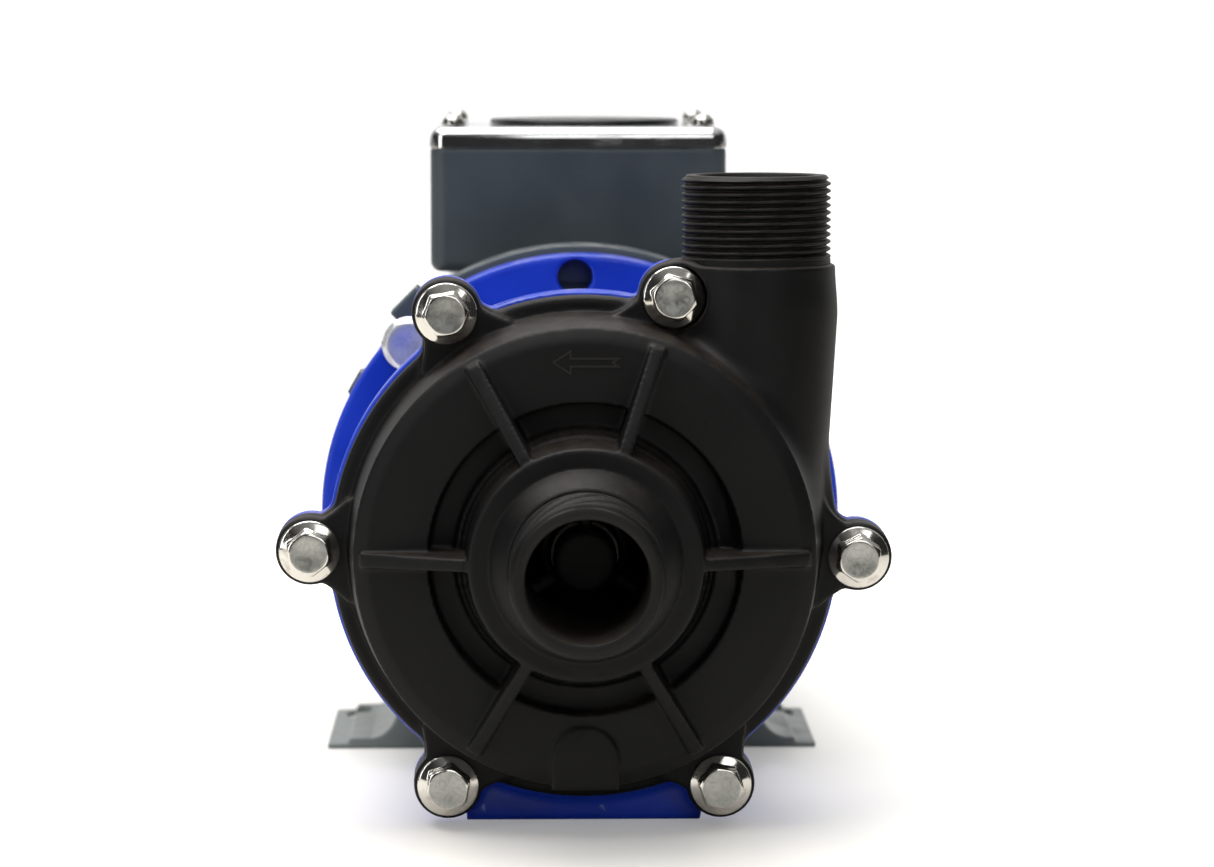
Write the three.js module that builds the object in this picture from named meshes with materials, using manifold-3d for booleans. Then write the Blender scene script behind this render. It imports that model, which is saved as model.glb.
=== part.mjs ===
// Sealless magnetic-drive pump with its motor, as an assembly of separate pieces.
// Millimetres, +Z up. The shaft runs along Y and the suction nozzle points to -Y.
// Most pieces are drawn about the shaft: x to the side, z above the shaft, and y behind the back face of
// the containment can's flange.

import * as THREE from 'three';
import { mergeVertices } from 'three/addons/utils/BufferGeometryUtils.js';
import Module from 'manifold-3d';

// Driving dimensions
const SHAFT_HEIGHT = 90;
const OVERALL_LENGTH = 420;
const NOZZLE_REACH = 105;
const GAP = 0.3;
const WELD = 1e-4;
const QUARTER = Math.PI / 2;

// Casing
const JOINT = -19;
const CAN_SEAT = -6.3;
const SPIGOT_R = 75.9;
const FLANGE_R = 81.2;
const BOLT_CIRCLE_R = 87.5;
const BOLT_SEAT = -30;
const CASING_BOLT_LENGTH = 17.5;
const LUG_R = 11;
const BOLT_HOLE_R = 4.4;
const LUG_ANGLES = [-1.5, 70.6, 120, 180, 240, 300];
const LUG_INSETS = [0, 1.7, 0, 0, 0, 0];
const RIB_ANGLES = [0, 71, 120, 180, 240, 300];
const RIB_WIDTH = 4.2;
const PLATEAU = 52.7;
const HUB_FACE = 67.7;
const NOZZLE_R = 23.9;
const PORT_R = 19;
const TIP_R = 22.3;
const TIP_BEVEL = 1.3;
const DISCHARGE_X = 55.2;
const DISCHARGE_Y = -17;
const DISCHARGE_TOP = 119.2;
const THREAD_START = 91.1;
const THROAT_R = 8.5;
const THROAT_TOP = 66;
const THROAT_SHIFT = 13.4;
const SPINDLE_R = 7;

// Adapter and motor
const ADAPTER_R = 82.2;
const LUG_BACK = -13;
const ADAPTER_LENGTH = 81.7;
const MOTOR_PLATE_R = 89;
const MOTOR_PLATE_Y = 69.7;
const MOTOR_BOLT_R = 82.5;
const MOTOR_BOLT_HOLE_R = 5.4;
const MOTOR_BOLT_ANGLES = [45, 135, 225, 315];
const MOTOR_FACE = 82;
const SHIELD_R = 88.5;
const SHIELD_CREST_R = 91.7;
const SHIELD_END = 98;
const FRAME_START = 100.3;
const FRAME_END = 262;
const FRAME_BORE_R = 75.5;
const FRAME_ROOT_R = 78;
const FIN_R = 84;
const RAIL_R = 85.5;
const RAIL_ANGLES = [28, 152];
const FAN_R = 74;
const COWL_R = 84;
const COWL_WALL = 1.6;
const COWL_SCREW_Y = 267.5;
const COWL_SCREW_ANGLES = [90, 210, 330];
const SHAFT_R = 12;
const MOTOR_END = OVERALL_LENGTH - NOZZLE_REACH;

// Terminal box and feet
const BOX_SIDE = 105.4;
const BOX_SHIFT = 0.2;
const BOX_CENTRE = 178;
const BOX_WALL = 3;
const BOX_BOTTOM = 79.5;
const BOX_TOP = 123.2;
const GASKET_TOP = 125.3;
const GASKET_SIDE = 102.4;
const LID_TOP = 131;
const LID_SCREW_AT = 44.5;
const GLAND_HEIGHT = 106;
const RIGHT_FOOT_END = 84.8;
const LEFT_FOOT_END = 89.6;
const FOOT_FRONT = 113.5;
const FOOT_DEPTH = 74;

// Facets round a full circle
const ROUND = 24;
const INNER_ROUND = 16;
const SCREW_ROUND = 8;

const wasm = await Module();
wasm.setup();

const FINISHES = {
  casing: { color: 0x202021, roughness: 0.62, metalness: 0 },
  blue: { color: 0x0038be, roughness: 0.38, metalness: 0 },
  slate: { color: 0x3e474d, roughness: 0.45, metalness: 0.1 },
  stainless: { color: 0xc9c7c2, roughness: 0.25, metalness: 1 },
  polished: { color: 0xdfe1e2, roughness: 0.1, metalness: 1 },
  steel: { color: 0x8d9195, roughness: 0.35, metalness: 1 },
  iron: { color: 0x55585a, roughness: 0.6, metalness: 0.8 },
  copper: { color: 0xa85b2c, roughness: 0.4, metalness: 0.8 },
  aluminium: { color: 0xb4b7b9, roughness: 0.4, metalness: 1 },
  ceramic: { color: 0xece7da, roughness: 0.3, metalness: 0 },
  carbon: { color: 0x2b2c2e, roughness: 0.5, metalness: 0 },
  magnet: { color: 0x77787c, roughness: 0.35, metalness: 0.9 },
  rubber: { color: 0x17181a, roughness: 0.8, metalness: 0 },
  plastic: { color: 0x2a2c2f, roughness: 0.55, metalness: 0 },
};

const radians = (degrees) => (degrees * Math.PI) / 180;

// Six times the signed volume of a triangle list: negative when its faces point in.
function signedVolume(points, triangles) {
  const corner = (i) => new THREE.Vector3().fromArray(points, 3 * i);
  let sum = 0;
  for (let i = 0; i < triangles.length; i += 3) {
    const [a, b, c] = [corner(triangles[i]), corner(triangles[i + 1]), corner(triangles[i + 2])];
    sum += a.dot(b.cross(c));
  }
  return sum;
}

// A closed geometry as a solid that can be joined and cut.
function solid(geometry) {
  const bare = geometry.clone();
  bare.deleteAttribute('normal');
  bare.deleteAttribute('uv');
  const merged = mergeVertices(bare, WELD);
  const points = merged.attributes.position.array;
  const index = merged.index.array;
  const triangles = [];
  for (let i = 0; i < index.length; i += 3) {
    const [a, b, c] = [index[i], index[i + 1], index[i + 2]];
    if (a !== b && b !== c && c !== a) triangles.push(a, b, c);
  }
  if (signedVolume(points, triangles) < 0) triangles.reverse();
  return new wasm.Manifold(
    new wasm.Mesh({ numProp: 3, vertProperties: points, triVerts: new Uint32Array(triangles) }),
  );
}

// The flat-shaded geometry of a solid.
function geometryOf(made) {
  const mesh = made.getMesh();
  const geometry = new THREE.BufferGeometry();
  geometry.setAttribute('position', new THREE.BufferAttribute(mesh.vertProperties, 3));
  geometry.setIndex(new THREE.BufferAttribute(mesh.triVerts, 1));
  const flat = geometry.toNonIndexed();
  flat.computeVertexNormals();
  return flat;
}

// A named piece in one of the finishes.
function piece(name, made, finish) {
  const mesh = new THREE.Mesh(geometryOf(made), new THREE.MeshStandardMaterial(FINISHES[finish]));
  mesh.name = name;
  return mesh;
}

const moved = (made, x, y, z) => made.translate([x, y, z]);

// Turned about the shaft: profile points are [radius, y].
function turned(profile, facets = ROUND) {
  const closed = [...profile, profile[0]];
  const points = closed.map(([r, y]) => new THREE.Vector2(r, y));
  return solid(new THREE.LatheGeometry(points, facets));
}

// Turned about a vertical axis: profile points are [radius, z].
const turnedUpright = (profile, facets = ROUND) => turned(profile, facets).rotate([90, 0, 0]);

// A ring or tube about the shaft, from y0 to y1.
const ring = (r0, r1, y0, y1, facets = ROUND) =>
  turned([[r0, y0], [r1, y0], [r1, y1], [r0, y1]], facets);

// A round bar about the shaft, from y0 to y1.
const bar = (r, y0, y1, facets = ROUND) => turned([[0, y0], [r, y0], [r, y1], [0, y1]], facets);

// An upright round bar, from z0 to z1.
const post = (r, z0, z1, facets = SCREW_ROUND) =>
  turnedUpright([[0, z0], [r, z0], [r, z1], [0, z1]], facets);

// A block between two corners.
function block([x0, y0, z0], [x1, y1, z1]) {
  const made = solid(new THREE.BoxGeometry(x1 - x0, y1 - y0, z1 - z0));
  return moved(made, (x0 + x1) / 2, (y0 + y1) / 2, (z0 + z1) / 2);
}

// A shape drawn in x and z, extruded along y from y0 to y1.
function plateAcross(shape, y0, y1, curveSegments = 8) {
  const settings = { depth: y1 - y0, bevelEnabled: false, curveSegments };
  return moved(solid(new THREE.ExtrudeGeometry(shape, settings).rotateX(QUARTER)), 0, y1, 0);
}

// A shape drawn in x and y, extruded upward from z0 to z1.
function plateLevel(shape, z0, z1, curveSegments = 3) {
  const settings = { depth: z1 - z0, bevelEnabled: false, curveSegments };
  return moved(solid(new THREE.ExtrudeGeometry(shape, settings)), 0, 0, z0);
}

function polygon(points) {
  return new THREE.Shape(points.map(([x, y]) => new THREE.Vector2(x, y)));
}

// A rectangle with round corners, centred on (0, 0).
function roundedRectangle(width, height, radius) {
  const [w, h] = [width / 2 - radius, height / 2 - radius];
  const shape = new THREE.Shape();
  shape.absarc(w, h, radius, 0, QUARTER);
  shape.absarc(-w, h, radius, QUARTER, 2 * QUARTER);
  shape.absarc(-w, -h, radius, 2 * QUARTER, 3 * QUARTER);
  shape.absarc(w, -h, radius, 3 * QUARTER, 4 * QUARTER);
  return shape;
}

// Turned about the shaft so that something drawn towards +X points at the given angle, up being 90.
const turnedTo = (made, degrees) => made.rotate([0, -degrees, 0]);

// The place on a circle about the shaft.
const onCircle = (radius, degrees) => [
  radius * Math.cos(radians(degrees)),
  radius * Math.sin(radians(degrees)),
];

const joined = (solids) => solids.reduce((whole, next) => whole.add(next));

const without = (made, cutters) => cutters.reduce((rest, cutter) => rest.subtract(cutter), made);

// ---- Wet end ----

// A lug with webs that sweep into the flange, drawn towards +X.
function lugShape(radius) {
  const spread = radians(105);
  const [startX, startZ] = [BOLT_CIRCLE_R + radius * Math.cos(spread), -radius * Math.sin(spread)];
  const shape = new THREE.Shape();
  shape.moveTo(70, -20);
  shape.lineTo(75.5, -18.5);
  shape.quadraticCurveTo(80.5, -radius - 1.5, startX, startZ);
  shape.absarc(BOLT_CIRCLE_R, 0, radius, -spread, spread);
  shape.quadraticCurveTo(80.5, radius + 1.5, 75.5, 18.5);
  shape.lineTo(70, 20);
  return shape;
}

function lugs(radius, y0, y1) {
  const one = plateAcross(lugShape(radius), y0, y1, 4);
  return joined(LUG_ANGLES.map((angle, i) => turnedTo(moved(one, -LUG_INSETS[i], 0, 0), angle)));
}

// Where the axis of each casing bolt is, as [x, z].
const LUG_CENTRES = LUG_ANGLES.map((angle, i) => onCircle(BOLT_CIRCLE_R - LUG_INSETS[i], angle));

const boltHoles = () => LUG_CENTRES.map(([x, z]) => moved(bar(BOLT_HOLE_R, -40, 0, SCREW_ROUND), x, 0, z));

// Round bars along the shaft's direction at places on a circle.
function barsOnCircle(r, y0, y1, radius, angles) {
  return angles.map((angle) => {
    const [x, z] = onCircle(radius, angle);
    return moved(bar(r, y0, y1, SCREW_ROUND), x, 0, z);
  });
}

function casingBody() {
  return turned([
    [0, CAN_SEAT], [SPIGOT_R, CAN_SEAT], [SPIGOT_R, JOINT], [FLANGE_R, JOINT], [80.4, -24.4],
    [75.9, -24.4], [72.6, -50.3], [68.3, -PLATEAU], [49.1, -PLATEAU], [49.1, -44.7], [40, -44.7],
    [37, -66.2], [35.5, -HUB_FACE], [30.1, -HUB_FACE], [24.6, -73.5], [NOZZLE_R, -73.5], [NOZZLE_R, TIP_BEVEL - NOZZLE_REACH], [TIP_R, -NOZZLE_REACH],
    [0, -NOZZLE_REACH],
  ]);
}

// The discharge pipe, trimmed to pass in front of the adapter and round the bolt of its nearest lug.
function dischargePipe() {
  const pipe = turnedUpright([
    [0, -6], [13, -3], [20.5, 6], [23, 20], [25.2, THREAD_START], [NOZZLE_R, THREAD_START],
    [NOZZLE_R, DISCHARGE_TOP - TIP_BEVEL], [TIP_R, DISCHARGE_TOP], [0, DISCHARGE_TOP],
  ]);
  const lug = moved(plateAcross(lugShape(LUG_R + 1.6), JOINT, 40, 5), -LUG_INSETS[1], 0, 0);
  const lugRoom = turnedTo(lug, LUG_ANGLES[1]);
  const adapterRoom = bar(ADAPTER_R + 1, JOINT, 40);
  const [x, z] = LUG_CENTRES[1];
  const headRoom = moved(bar(10.4, -60, BOLT_SEAT), x, 0, z);
  return without(moved(pipe, DISCHARGE_X, DISCHARGE_Y, 0), [adapterRoom, lugRoom, headRoom]);
}

// The bore of the discharge pipe, narrowing and leaning forward to the throat of the volute.
function dischargeBore() {
  const upper = moved(post(PORT_R, THREAD_START - 5, DISCHARGE_TOP + 5, ROUND), DISCHARGE_X, DISCHARGE_Y, 0);
  const fall = THREAD_START - THROAT_TOP;
  const lean = Math.atan2(THROAT_SHIFT, fall) / radians(1);
  const cone = turnedUpright([[0, -fall], [THROAT_R, -fall], [PORT_R, 0], [0, 0]]).rotate([-lean, 0, 0]);
  const way = post(THROAT_R, 8, THROAT_TOP + 6, INNER_ROUND);
  const entry = moved(way, DISCHARGE_X, DISCHARGE_Y - THROAT_SHIFT, 0);
  return joined([upper, moved(cone, DISCHARGE_X, DISCHARGE_Y, THREAD_START + 2), entry]);
}

// A radial stiffening rib from the rim up to the front edge of the hub.
function ribs() {
  const top = HUB_FACE - 1.2;
  const side = polygon([[36, 44], [71, 44], [71, PLATEAU + 0.6], [38, top], [36, top]]);
  const flat = new THREE.ExtrudeGeometry(side, { depth: RIB_WIDTH, bevelEnabled: false });
  flat.translate(0, 0, -RIB_WIDTH / 2);
  const one = solid(flat.scale(1, -1, 1));
  return joined(RIB_ANGLES.map((angle) => turnedTo(one, angle)));
}

function arrowShape() {
  return polygon([[-10.7, 62], [-4, 66], [-4, 63.6], [11.4, 63.6], [11.4, 60.4], [-4, 60.4], [-4, 58]]);
}

function drainPadShape() {
  const shape = new THREE.Shape();
  shape.moveTo(-10.5, -73);
  shape.lineTo(10.5, -73);
  shape.absarc(0, -63.5, 10.5, 0, Math.PI);
  return shape;
}

// The hollow that holds the impeller.
function impellerChamber() {
  return turned([
    [0, 1], [66.5, 1], [66.5, -44], [64.5, -46.5], [56, -46.5], [52, -38.7],
    [31, -38.7], [31, -31], [26, -31], [26, -40], [PORT_R, -42], [0, -42],
  ]);
}

// Three arms in the suction port that carry the front end of the spindle.
function spindleSupport() {
  const hub = without(bar(10, -57, -39.8, INNER_ROUND), [bar(SPINDLE_R + GAP, -52, -39, INNER_ROUND)]);
  const arm = block([8.6, -55, -2], [20.5, -45, 2]);
  return joined([hub, ...[90, 210, 330].map((angle) => turnedTo(arm, angle))]);
}

function frontCasing() {
  const outside = joined([
    casingBody(),
    lugs(LUG_R, BOLT_SEAT, JOINT),
    dischargePipe(),
    ribs(),
    plateAcross(drainPadShape(), -PLATEAU - 1, -30, 5),
    plateAcross(arrowShape(), -PLATEAU - 0.5, -50),
  ]);
  const hollow = without(outside, [
    impellerChamber(),
    bar(PORT_R, -NOZZLE_REACH - 5, -41),
    dischargeBore(),
    ...boltHoles(),
  ]);
  return piece('front_casing', hollow.add(spindleSupport()), 'casing');
}

// A flanged hex bolt along the shaft's direction, its seat at y = 0 and its head towards -Y.
function flangedBolt(name, acrossFlats, flangeR, headHeight, shankR, shankLength) {
  const cornerR = acrossFlats / Math.sqrt(3);
  const hex = new THREE.CylinderGeometry(cornerR, cornerR, headHeight, 6);
  const head = moved(solid(hex), 0, -headHeight / 2, 0);
  const profile = [[0, 0], [flangeR, 0], [flangeR, -1], [acrossFlats / 2 + 0.4, -2.4], [0, -2.4]];
  const flange = turned(profile, 12);
  const shank = bar(shankR, -0.5, shankLength, SCREW_ROUND);
  return piece(name, joined([head, flange, shank]), 'stainless');
}

function casingBolts() {
  return LUG_CENTRES.map(([x, z], i) => {
    const bolt = flangedBolt(`casing_bolt_${i + 1}`, 13, 9.85, 8, 4, CASING_BOLT_LENGTH);
    bolt.position.set(x, BOLT_SEAT - GAP, z);
    return bolt;
  });
}

function casingRing() {
  const section = [...Array(6).keys()].map((i) => [
    70.3 + 1.4 * Math.cos(radians(60 * i)),
    -4.6 + 1.4 * Math.sin(radians(60 * i)),
  ]);
  return piece('casing_o_ring', turned(section), 'rubber');
}

function containmentCan() {
  const can = turned([
    [0, 25], [7.3, 25], [7.3, 17.5], [11, 17.5], [11, 26.5], [33, 26.5], [35, 24.5], [35, -4], [60, -4],
    [62, -6], [68, -6], [68, -3], [72.6, -3], [72.6, -6], [75.7, -6], [75.7, 0], [37.5, 0], [37, 0.5],
    [37, 27.5], [35, 29.5], [0, 29.5],
  ]);
  return piece('containment_can', can, 'plastic');
}

function spindleParts() {
  return [
    piece('spindle', bar(SPINDLE_R, -51.7, 24.7, INNER_ROUND), 'ceramic'),
    piece('front_thrust_ring', ring(SPINDLE_R + GAP, 10.8, -39.5, -35, INNER_ROUND), 'ceramic'),
    piece('rear_thrust_ring', ring(SPINDLE_R + GAP, 10.8, 16, 17.2, INNER_ROUND), 'ceramic'),
  ];
}

// A vane that curves back against the turn, with its root towards +X.
function vane() {
  const steps = 4;
  const halfThickness = 1.2;
  const leading = [];
  const trailing = [];
  for (let i = 0; i <= steps; i += 1) {
    const radius = 24 + (30 * i) / steps;
    const angle = -60 * (i / steps);
    const lean = (halfThickness / radius) * (180 / Math.PI) * 1.5;
    leading.push(onCircle(radius, angle + lean));
    trailing.unshift(onCircle(radius, angle - lean));
  }
  return plateAcross(polygon([...leading, ...trailing]), -22, -9);
}

function impeller() {
  const back = turned([
    [11.3, -4.3], [30, -4.3], [30, -7], [55, -7.5], [55, -10], [24, -12], [15, -20], [14, -32],
    [11.3, -32],
  ], INNER_ROUND);
  const vanes = [0, 60, 120, 180, 240, 300].map((angle) => turnedTo(vane(), angle));
  return piece('impeller', joined([back, ...vanes]), 'plastic');
}

function impellerParts() {
  const shroud = turned([
    [20.5, -37.5], [22.7, -37.5], [22.7, -28], [26, -25], [55, -24.3], [55, -22.3], [24, -22.3], [20.5, -24],
  ], INNER_ROUND);
  const capsule = turned([
    [11.3, -4], [33.5, -4], [34, -3.5], [34, 24], [32.8, 24], [32.8, 0], [26.7, 0], [26.7, 24], [25, 24],
    [25, 2], [14.5, 2], [14.5, 15.5], [11.3, 15.5],
  ], INNER_ROUND);
  return [
    impeller(),
    piece('impeller_shroud', shroud, 'plastic'),
    piece('mouth_ring', ring(23, 25, -37.5, -29, INNER_ROUND), 'carbon'),
    piece('inner_magnet_capsule', capsule, 'plastic'),
    piece('inner_magnet_ring', ring(27, 32.5, 0.3, 23.7, INNER_ROUND), 'magnet'),
    piece('impeller_bush', ring(SPINDLE_R + GAP, 11, -34, 15.5, INNER_ROUND), 'carbon'),
  ];
}

// ---- Adapter and drive magnet ----

function adapterFoot() {
  const floor = -SHAFT_HEIGHT;
  const shape = polygon([[-38, floor], [38, floor], [38, -84], [30, -66], [-30, -66], [-38, -84]]);
  return plateAcross(shape, -17, 12);
}

function motorAdapter() {
  const body = turned([
    [57, GAP], [SPIGOT_R + GAP, GAP], [SPIGOT_R + GAP, JOINT + GAP], [ADAPTER_R, JOINT + GAP],
    [ADAPTER_R, -6], [79.5, -3], [79.5, 8], [72, 14], [67, 24], [66, 40], [68, 60], [71, 68],
    [71, MOTOR_PLATE_Y], [MOTOR_PLATE_R - 1, MOTOR_PLATE_Y], [MOTOR_PLATE_R, MOTOR_PLATE_Y + 1],
    [MOTOR_PLATE_R, ADAPTER_LENGTH], [65.1, ADAPTER_LENGTH], [65.1, 77], [57, 77],
  ]);
  const seat = bar(SPIGOT_R + GAP, JOINT - 1, GAP).add(bar(57, JOINT - 1, 76));
  const outside = lugs(LUG_R + 0.3, JOINT + GAP, LUG_BACK).add(adapterFoot());
  const shell = body.add(outside.subtract(seat));
  const cast = without(shell, [
    ...boltHoles(),
    ...barsOnCircle(6, 60, 90, MOTOR_BOLT_R - 1.3, [91.2]),
    ...barsOnCircle(MOTOR_BOLT_HOLE_R, 60, 90, MOTOR_BOLT_R, MOTOR_BOLT_ANGLES),
  ]);
  return piece('motor_adapter', cast, 'blue');
}

function adapterBolts() {
  return MOTOR_BOLT_ANGLES.map((angle, i) => {
    const bolt = flangedBolt(`adapter_bolt_${i + 1}`, 16, 9.4, 6.4, 5, 24);
    const [x, z] = onCircle(MOTOR_BOLT_R, angle);
    bolt.position.set(x, MOTOR_PLATE_Y - GAP, z);
    return bolt;
  });
}

function driveParts() {
  const yoke = turned([
    [12.3, 31.5], [46.3, 31.5], [46.3, 3], [52, 3], [52, 40], [50, 42], [22, 44], [22, 72], [12.3, 72],
  ], INNER_ROUND);
  const keyway = block([-4.3, 30, 5], [4.3, 75, 15.3]);
  const screwHole = post(3.3, -30, -5);
  return [
    piece('drive_hub', without(yoke, [keyway, screwHole.translate([0, 62, 0])]), 'iron'),
    piece('drive_magnet_ring', ring(38.3, 46, 4, 31.2, INNER_ROUND), 'magnet'),
    piece('hub_set_screw', post(3, -21.5, -12.4).translate([0, 62, 0]), 'steel'),
  ];
}

// ---- Motor ----

function motorShaft() {
  const turnedBar = turned([
    [0, 32], [SHAFT_R - 0.8, 32], [SHAFT_R, 32.8], [SHAFT_R, 84], [12.5, 85], [12.5, 102], [15, 104],
    [15, 248], [12.5, 250], [12.5, 265.4], [9.7, 265.9], [9.7, 302], [0, 302],
  ], INNER_ROUND);
  const keyway = block([-4.2, 37.8, 7.7], [4.2, 66.2, 20]);
  const key = block([-4, 38, 8], [4, 66, 15]);
  return [piece('motor_shaft', turnedBar.subtract(keyway), 'steel'), piece('shaft_key', key, 'steel')];
}

// Balls joined by their cage, seven round the race.
function ballCage() {
  const ball = solid(new THREE.SphereGeometry(2.2, 5, 4));
  const balls = [...Array(7).keys()].map((i) => turnedTo(moved(ball, 19.1, 0, 0), (360 / 7) * i));
  return joined([ring(18.5, 19.7, -0.8, 0.8, 7), ...balls]);
}

function bearing(end, start) {
  const width = 15;
  return [
    piece(`${end}_bearing_outer`, ring(22, 26, start, start + width, INNER_ROUND), 'steel'),
    piece(`${end}_bearing_inner`, ring(12.8, 16.2, start, start + width, INNER_ROUND), 'steel'),
    piece(`${end}_bearing_balls`, moved(ballCage(), 0, start + width / 2, 0), 'steel'),
  ];
}

// The front end shield: a round flange with a crest over the top and ears at the upper bolts.
function frontShield() {
  const flange = turned([
    [13.5, 78.2], [64.8, 78.2], [64.8, MOTOR_FACE], [SHIELD_R - 1.5, MOTOR_FACE],
    [SHIELD_R, MOTOR_FACE + 1.5], [SHIELD_R, SHIELD_END], [SHIELD_R - 2, SHIELD_END + 2],
    [77, SHIELD_END + 2], [77, 92], [32, 90], [32, 102], [26.6, 102], [26.6, 85.7], [13.5, 85.7],
  ]);
  const above = block([-46, 70, 79], [46, 110, 95]);
  const crest = ring(85, SHIELD_CREST_R, MOTOR_FACE, SHIELD_END, 36).intersect(above);
  const ears = [
    [45, [[79, -13], [91, -13], [93.5, -9], [93.5, 9], [91, 13], [79, 13]]],
    [135, [[79, -15], [94.5, -15], [94.5, -1.6], [89.6, -1.6], [89.6, 8], [79, 8]]],
    [150.5, [[80, -4.5], [90, -4.5], [90, 4.5], [80, 4.5]]],
  ].map(([angle, corners]) => turnedTo(plateAcross(polygon(corners), MOTOR_FACE, 96), angle));
  const holes = barsOnCircle(MOTOR_BOLT_HOLE_R, 75, 110, MOTOR_BOLT_R, MOTOR_BOLT_ANGLES);
  return piece('front_end_shield', without(joined([flange, crest, ...ears]), holes), 'slate');
}

function rearShield() {
  const seatR = COWL_R - COWL_WALL - GAP;
  const spigotR = FRAME_BORE_R - GAP;
  const shield = turned([
    [11.5, 266.3], [26.6, 266.3], [26.6, 250], [32, 250], [32, 264], [spigotR, 264],
    [spigotR, FRAME_END + GAP], [seatR, FRAME_END + GAP], [seatR, 269], [seatR - 3, 273], [11.5, 273],
  ]);
  return piece('rear_end_shield', without(shield, cowlScrewHoles()), 'slate');
}

// The radial holes for the screws that hold the fan cowl.
function cowlScrewHoles() {
  const hole = moved(post(2.3, 0, 14).rotate([0, 90, 0]), COWL_R - 9, COWL_SCREW_Y, 0);
  return COWL_SCREW_ANGLES.map((angle) => turnedTo(hole, angle));
}

// The outline of the finned frame, root to tip, all the way round.
function finnedOutline() {
  const fins = 32;
  const points = [];
  for (let i = 0; i < fins; i += 1) {
    const middle = (360 / fins) * (i + 0.5);
    points.push(onCircle(FRAME_ROOT_R, middle - 3), onCircle(FIN_R, middle - 1.1));
    points.push(onCircle(FIN_R, middle + 1.1), onCircle(FRAME_ROOT_R, middle + 3));
  }
  return polygon(points);
}

function motorFrame() {
  const tube = plateAcross(finnedOutline(), FRAME_START, FRAME_END);
  const rail = block([FRAME_ROOT_R - 1, FRAME_START, -5], [RAIL_R, FRAME_END, 5]);
  const rails = RAIL_ANGLES.map((angle) => turnedTo(rail, angle));
  const saddle = block([-44, BOX_CENTRE - 44, 60], [44, BOX_CENTRE + 44, 88.4]);
  const whole = joined([tube, ...rails, saddle.intersect(bar(FIN_R, FRAME_START, FRAME_END, 36))]);
  return piece('motor_frame', whole.subtract(bar(FRAME_BORE_R, 90, 270)), 'slate');
}

function stator() {
  const winding = (y0, y1) => turned([[57, y0], [64, y0 - 2], [70, y0], [71, y1], [56, y1]], INNER_ROUND);
  return [
    piece('stator_core', ring(52, FRAME_BORE_R - GAP, 132, 228), 'iron'),
    piece('front_winding', winding(112, 131.7), 'copper'),
    piece('rear_winding', winding(-248, -228.3).rotate([180, 0, 0]), 'copper'),
    piece('rotor_core', ring(15.3, 50, 132, 228, INNER_ROUND), 'iron'),
  ];
}

function coolingFan() {
  const hub = turned([
    [10, 275.5], [FAN_R - 2, 275.5], [FAN_R, 277.5], [FAN_R, 278.5], [16, 278.5], [16, 300], [10, 300],
  ], INNER_ROUND);
  const blade = block([15, 278, -1.2], [FAN_R, 299, 1.2]);
  const blades = [...Array(8).keys()].map((i) => turnedTo(blade, 45 * i));
  return piece('cooling_fan', joined([hub, ...blades]), 'plastic');
}

function fanCowl() {
  const cornerR = COWL_R - 8;
  const shell = turned([
    [COWL_R - COWL_WALL, 264], [COWL_R, 264], [COWL_R, 305], [cornerR, MOTOR_END], [0, MOTOR_END],
    [0, MOTOR_END - COWL_WALL], [cornerR - 0.7, MOTOR_END - COWL_WALL], [COWL_R - COWL_WALL, 304.4],
  ]);
  const slot = block([22, 300, -3], [66, 330, 3]);
  const slots = [...Array(12).keys()].map((i) => turnedTo(slot, 30 * i));
  return piece('fan_cowl', without(shell, [...slots, ...cowlScrewHoles()]), 'slate');
}

// A pan-head screw standing on z = 0, head upward.
function panScrew(name, headR, headHeight, shankR, shankLength, finish) {
  const profile = [
    [0, -shankLength], [shankR, -shankLength], [shankR, 0], [headR, 0], [headR, headHeight * 0.6],
    [headR * 0.6, headHeight], [0, headHeight],
  ];
  return piece(name, turnedUpright(profile, SCREW_ROUND), finish);
}

function cowlScrews() {
  return COWL_SCREW_ANGLES.map((angle, i) => {
    const screw = panScrew(`cowl_screw_${i + 1}`, 4, 2.6, 2, 9, 'steel');
    const [x, z] = onCircle(COWL_R + GAP, angle);
    screw.position.set(x, COWL_SCREW_Y, z);
    screw.rotation.set(0, radians(90 - angle), 0);
    return screw;
  });
}

// A foot bracket that reaches out to end: a flat plate on the floor and a web that rises to the frame.
function foot(name, side, end) {
  const floor = -SHAFT_HEIGHT;
  const shape = new THREE.Shape();
  shape.moveTo(end, floor);
  shape.lineTo(end, floor + 1.7);
  shape.lineTo(end - 7.5, floor + 1.7);
  shape.lineTo(end - 7.5, floor + 3.8);
  shape.lineTo(74, floor + 3.8);
  shape.quadraticCurveTo(67, floor + 5, 65, floor + 12);
  shape.lineTo(62.2, -57.7);
  shape.lineTo(53.8, -65.6);
  shape.lineTo(45.4, -71.7);
  shape.lineTo(42, floor);
  const arch = block([47, FOOT_FRONT + 8, floor - 1], [60, FOOT_FRONT + FOOT_DEPTH - 8, -79]);
  const slot = plateLevel(roundedRectangle(9, 14, 4.4), floor - 5, floor + 10, 2);
  const placedSlot = moved(slot, end - 9, FOOT_FRONT + FOOT_DEPTH - 12, 0);
  const frameRoom = bar(FIN_R + 0.5, 90, 270, 48);
  const whole = plateAcross(shape, FOOT_FRONT, FOOT_FRONT + FOOT_DEPTH);
  const right = without(whole, [arch, placedSlot, frameRoom]);
  return piece(name, side > 0 ? right : right.mirror([1, 0, 0]), 'slate');
}

// ---- Terminal box ----

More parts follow.
